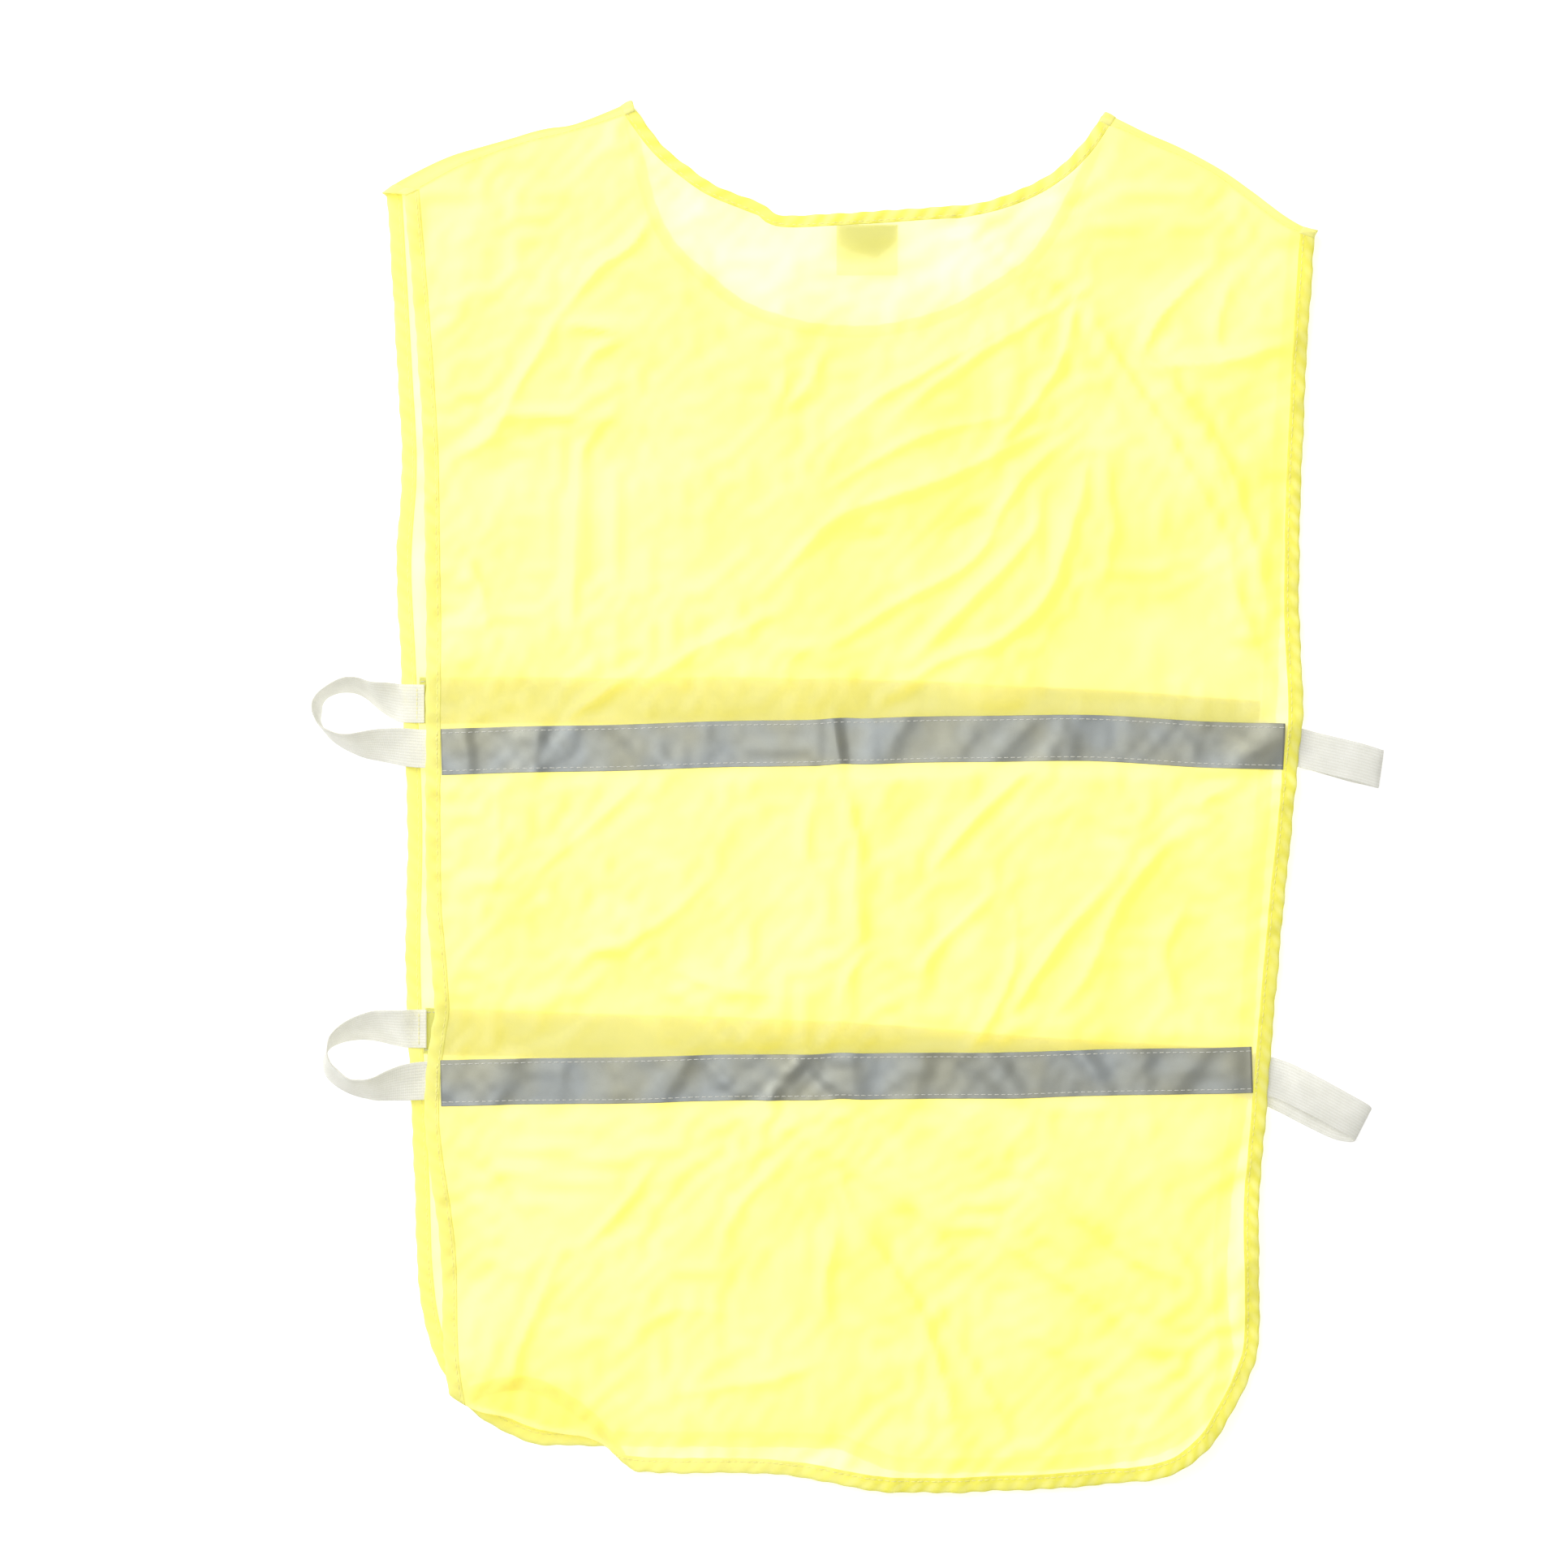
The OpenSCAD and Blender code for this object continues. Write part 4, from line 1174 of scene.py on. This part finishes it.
RIGHT_LOWER = [
    (205, -140, None, 201, -160.5, None), (214, -141.5, None, 209, -162, None),
    (222, -143.6, 2.2, 216, -164, 2.1), (231, -147, 2.8, 224, -167, 2.2),
    (240.5, -151.5, 3.6, 232.5, -170.8, 2.4), (256.5, -160, 5, 248.1, -178.8, 2.8),
    (270, -167, 6.4, 262, -184.8, 3.2), (277.8, -168.8, 7.6, 270.5, -186.4, 3.6),
    (280.9, -169.6, 10.5, 273.6, -185.5, 5.2), (279.3, -167.2, 13.4, 272.4, -183.6, 8.4),
    (270.5, -161.8, 14.6, 263, -178.6, 9.6), (257, -153.8, 12.6, 249.5, -171.8, 8.2),
    (246, -148.3, 9.2, 239, -166.6, 6.4), (236, -143.8, None, 231, -163, None),
    (222, -139.6, None, 220, -160.2, None), (209, -137.8, None, 208, -158.8, None),
]
ELASTIC_W = 20.8
RIBS = 13
SEWN_OVER = 1.25  # a loop's front end above the lower layer
SEWN_UNDER = 1.3  # its back end below the upper layer
FLOOR_GAP = 0.75  # a standing loop's lower edge above the floor


def standing_rows(rows):
    """Rows in space for a band that stands on its lower edge between its sewn ends."""
    r = np.asarray(rows, float)
    upper, lower = r[:, :2], r[:, 2:]
    middle = (upper + lower) / 2
    start, end = front_height(middle) + SEWN_OVER, back_height(middle) - SEWN_UNDER
    share = np.linspace(0, 1, len(r))
    low = FLOOR_GAP + np.where(
        share < 0.5, (start - FLOOR_GAP) * (1 - smooth((share - 0.08) / 0.16)),
        (end - FLOOR_GAP) * smooth((share - 0.66) / 0.27))
    plan = np.linalg.norm(upper - lower, axis=1)
    rise = np.sqrt(np.maximum(ELASTIC_W**2 - plan**2, 0))
    rise *= smooth((ELASTIC_W - plan) / 1.2)
    return np.column_stack([upper, low + rise]), np.column_stack([lower, low])


def lying_rows(rows):
    """Rows in space for a band that lies flat; a height of None is a sewn end's."""
    r = np.array(rows, float)
    upper, lower = r[:, :3], r[:, 3:]
    sewn = np.isnan(upper[:, 2])
    first = np.arange(len(r)) < len(r) / 2
    for edge in (upper, lower):
        z = np.where(first, front_height(edge[:, :2]) + SEWN_OVER, back_height(edge[:, :2]) - SEWN_UNDER)
        edge[sewn, 2] = z[sewn]
    return upper, lower


def loop(place, upper, lower):
    """Ribbed elastic band through its rows."""
    u, l = curve(upper, 6), curve(lower, 6)
    middle = (u + l) / 2
    wide = unit(u - l)
    thick = unit(np.cross(wide, directions(middle)))
    s = lengths(middle)
    share = np.linspace(-0.5, 0.5, 4 * RIBS + 1)
    rib = 0.36 + 0.14 * np.abs(np.cos(np.pi * RIBS * (share + 0.5)))
    rib[[0, -1]] = 0.2
    ring = np.concatenate([share, share[::-1]]) * ELASTIC_W
    off = np.concatenate([rib, -rib[::-1]])
    points = middle[:, None] + wide[:, None] * ring[None, :, None] + thick[:, None] * off[None, :, None]
    rows, cols = points.shape[:2]
    o = make_piece(
        f"{place}_loop", f"{place}_elastic", points.reshape(-1, 3), tube_faces(rows, cols),
        band_uv(s, ring), ELASTIC)
    share = np.repeat(smooth((s / s[-1] - 0.14) / 0.68), cols)
    follow(o, share)


loop("left_upper", *standing_rows(LEFT_UPPER))
loop("left_lower", *standing_rows(LEFT_LOWER))
loop("right_upper", *lying_rows(RIGHT_UPPER))
loop("right_lower", *lying_rows(RIGHT_LOWER))

# Tacks: short rows of stitches across a loop's sewn ends, their height and their thread's radius
FRONT_TACKS = [[(-233.6, 58.5), (-233.6, 41.5)], [(-232.6, -117.5), (-232.6, -134.5)],
               [(224.5, 38.5), (221.5, 22)], [(210.5, -142.5), (206.5, -158.5)]]
BACK_TACKS = [[(-222.6, 34.5), (-222.6, 17)], [(-222.6, -145), (-222.6, -162.5)],
              [(237.5, 36.5), (236.5, 19.5)], [(221.4, -141.5), (219.6, -158)]]
for layer, tacks, height, thick in (("front", FRONT_TACKS, 1.75, 0.16), ("back", BACK_TACKS, 0.62, 0.23)):
    stitches(
        f"{layer}_elastic_tacks", f"{layer}_loop_tacks",
        [(resample(np.asarray(t, float), 30), height) for t in tacks],
        PLACES[layer], YELLOW_THREAD, length=2.0, pitch=2.4, thick=thick)


def make_label():
    """Neck label: its upper part clings to the cloth above, and the rest hangs clear of it."""
    wide, long, thick = 33.0, 27.0, 0.18
    cols, rows = 41, 35
    low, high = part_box("neck_label")
    top_y, x_mid, top_z = high[1] / MM, (low[0] + high[0]) / 2 / MM, high[2] / MM
    gx, gy = np.meshgrid(np.linspace(-wide / 2, wide / 2, cols), np.linspace(0, long, rows))
    droop = np.radians(11.0)
    clings = bell(gy / (11 + 3 * np.cos(gx / 5)))
    curl = 0.5 * np.sin(gx / 6.5) * smooth(gy / 12) + 0.25 * np.sin(gx / 3.1 + 1) * smooth(gy / 20)
    z = top_z - 0.25 - gy * np.sin(droop) * (1 - 0.55 * clings) + curl
    x, y = x_mid + gx, top_y - 0.4 - gy * np.cos(droop)
    face = np.stack([x, y, z], -1).reshape(-1, 3)
    points = np.vstack([face, face - (0, 0, thick)])
    size = rows * cols
    quads = grid_faces(rows, cols)
    rim = np.concatenate([
        np.arange(cols), np.arange(1, rows) * cols + cols - 1,
        size - 2 - np.arange(cols - 1), (rows - 2 - np.arange(rows - 2)) * cols,
    ])
    following = np.roll(rim, -1)
    walls = np.stack([rim, following, following + size, rim + size], -1)
    faces = np.vstack([quads[:, ::-1], quads + size, walls]).tolist()
    uv = np.tile(np.stack([gx, gy], -1).reshape(-1, 2), (2, 1))
    return make_piece("neck_label", "neck_tag", points, faces, uv, LABEL)


label = make_label()

# ---------------------------------------------------------------------------------------------
# What each piece rides on and replaces, and lists of the pieces sewn onto each layer
# ---------------------------------------------------------------------------------------------
HINGED = [pieces[f"back_{part}"] for part in (
    "panel", "side_binding", "neck_binding", "side_stitching", "neck_stitching")]
for node, piece in pieces.items():
    if piece in HINGED:
        follow(piece, back_share(real_places(piece)[:, :2]))
    elif not node.endswith("_loop"):
        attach(piece, "label" if piece is label else "back" if node.startswith("back") else "front")
    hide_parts(node)

SEWN_ON = (
    "side_binding", "neck_binding", "side_stitching", "neck_stitching", "upper_tape", "lower_tape",
    "tape_stitching", "elastic_tacks",
)
sewn_back, sewn_front = ([pieces[f"{layer}_{part}"] for part in SEWN_ON] for layer in PLACES)
sewn_front += [pieces["left_shoulder_stitching"], pieces["right_shoulder_stitching"]]

# ---------------------------------------------------------------------------------------------
# Floor, light and camera
# ---------------------------------------------------------------------------------------------
recipe = Recipe("floor")
shade = recipe.noise(recipe.add("ShaderNodeTexCoord").outputs["Object"], 3.0)
colour = recipe.tint(shade, 0.3, 0.7, 1.0, (0.93, 0.93, 0.93, 1), (0.945, 0.945, 0.945, 1))
floor_look = {
    "Base Color": colour, "Roughness": 0.9, "Emission Color": (1, 1, 1, 1), "Emission Strength": 0.4}
floor = square("floor", 20)
floor.data.materials.append(
    recipe.finish(recipe.add("ShaderNodeBsdfPrincipled", floor_look).outputs[0]))

world = bpy.data.worlds.new("studio")
scene.world = world
world.use_nodes = True
sky = world.node_tree.nodes["Background"].inputs
sky["Color"].default_value = (1, 1, 1, 1)
sky["Strength"].default_value = 0.36


def softbox(name, place, size, watts):
    """A square lamp that faces the middle of the vest."""
    data = bpy.data.lights.new(name, "AREA")
    data.shape, data.size, data.energy = "SQUARE", size, watts
    o = add_object(name, data)
    o.location = place
    o.rotation_euler = (-o.location).to_track_quat("-Z", "Y").to_euler()


softbox("key", (-1.3, 1.1, 1.5), 1.8, 46)
softbox("overhead", (-0.15, 0.1, 2.5), 1.6, 19)

camera_data = bpy.data.cameras.new("camera")
camera_data.lens, camera_data.sensor_width = 85, 36
camera = add_object("camera", camera_data)
camera.location = (-0.035, 0.0066, 2.007)
scene.camera = camera
scene.view_settings.view_transform = "Standard"
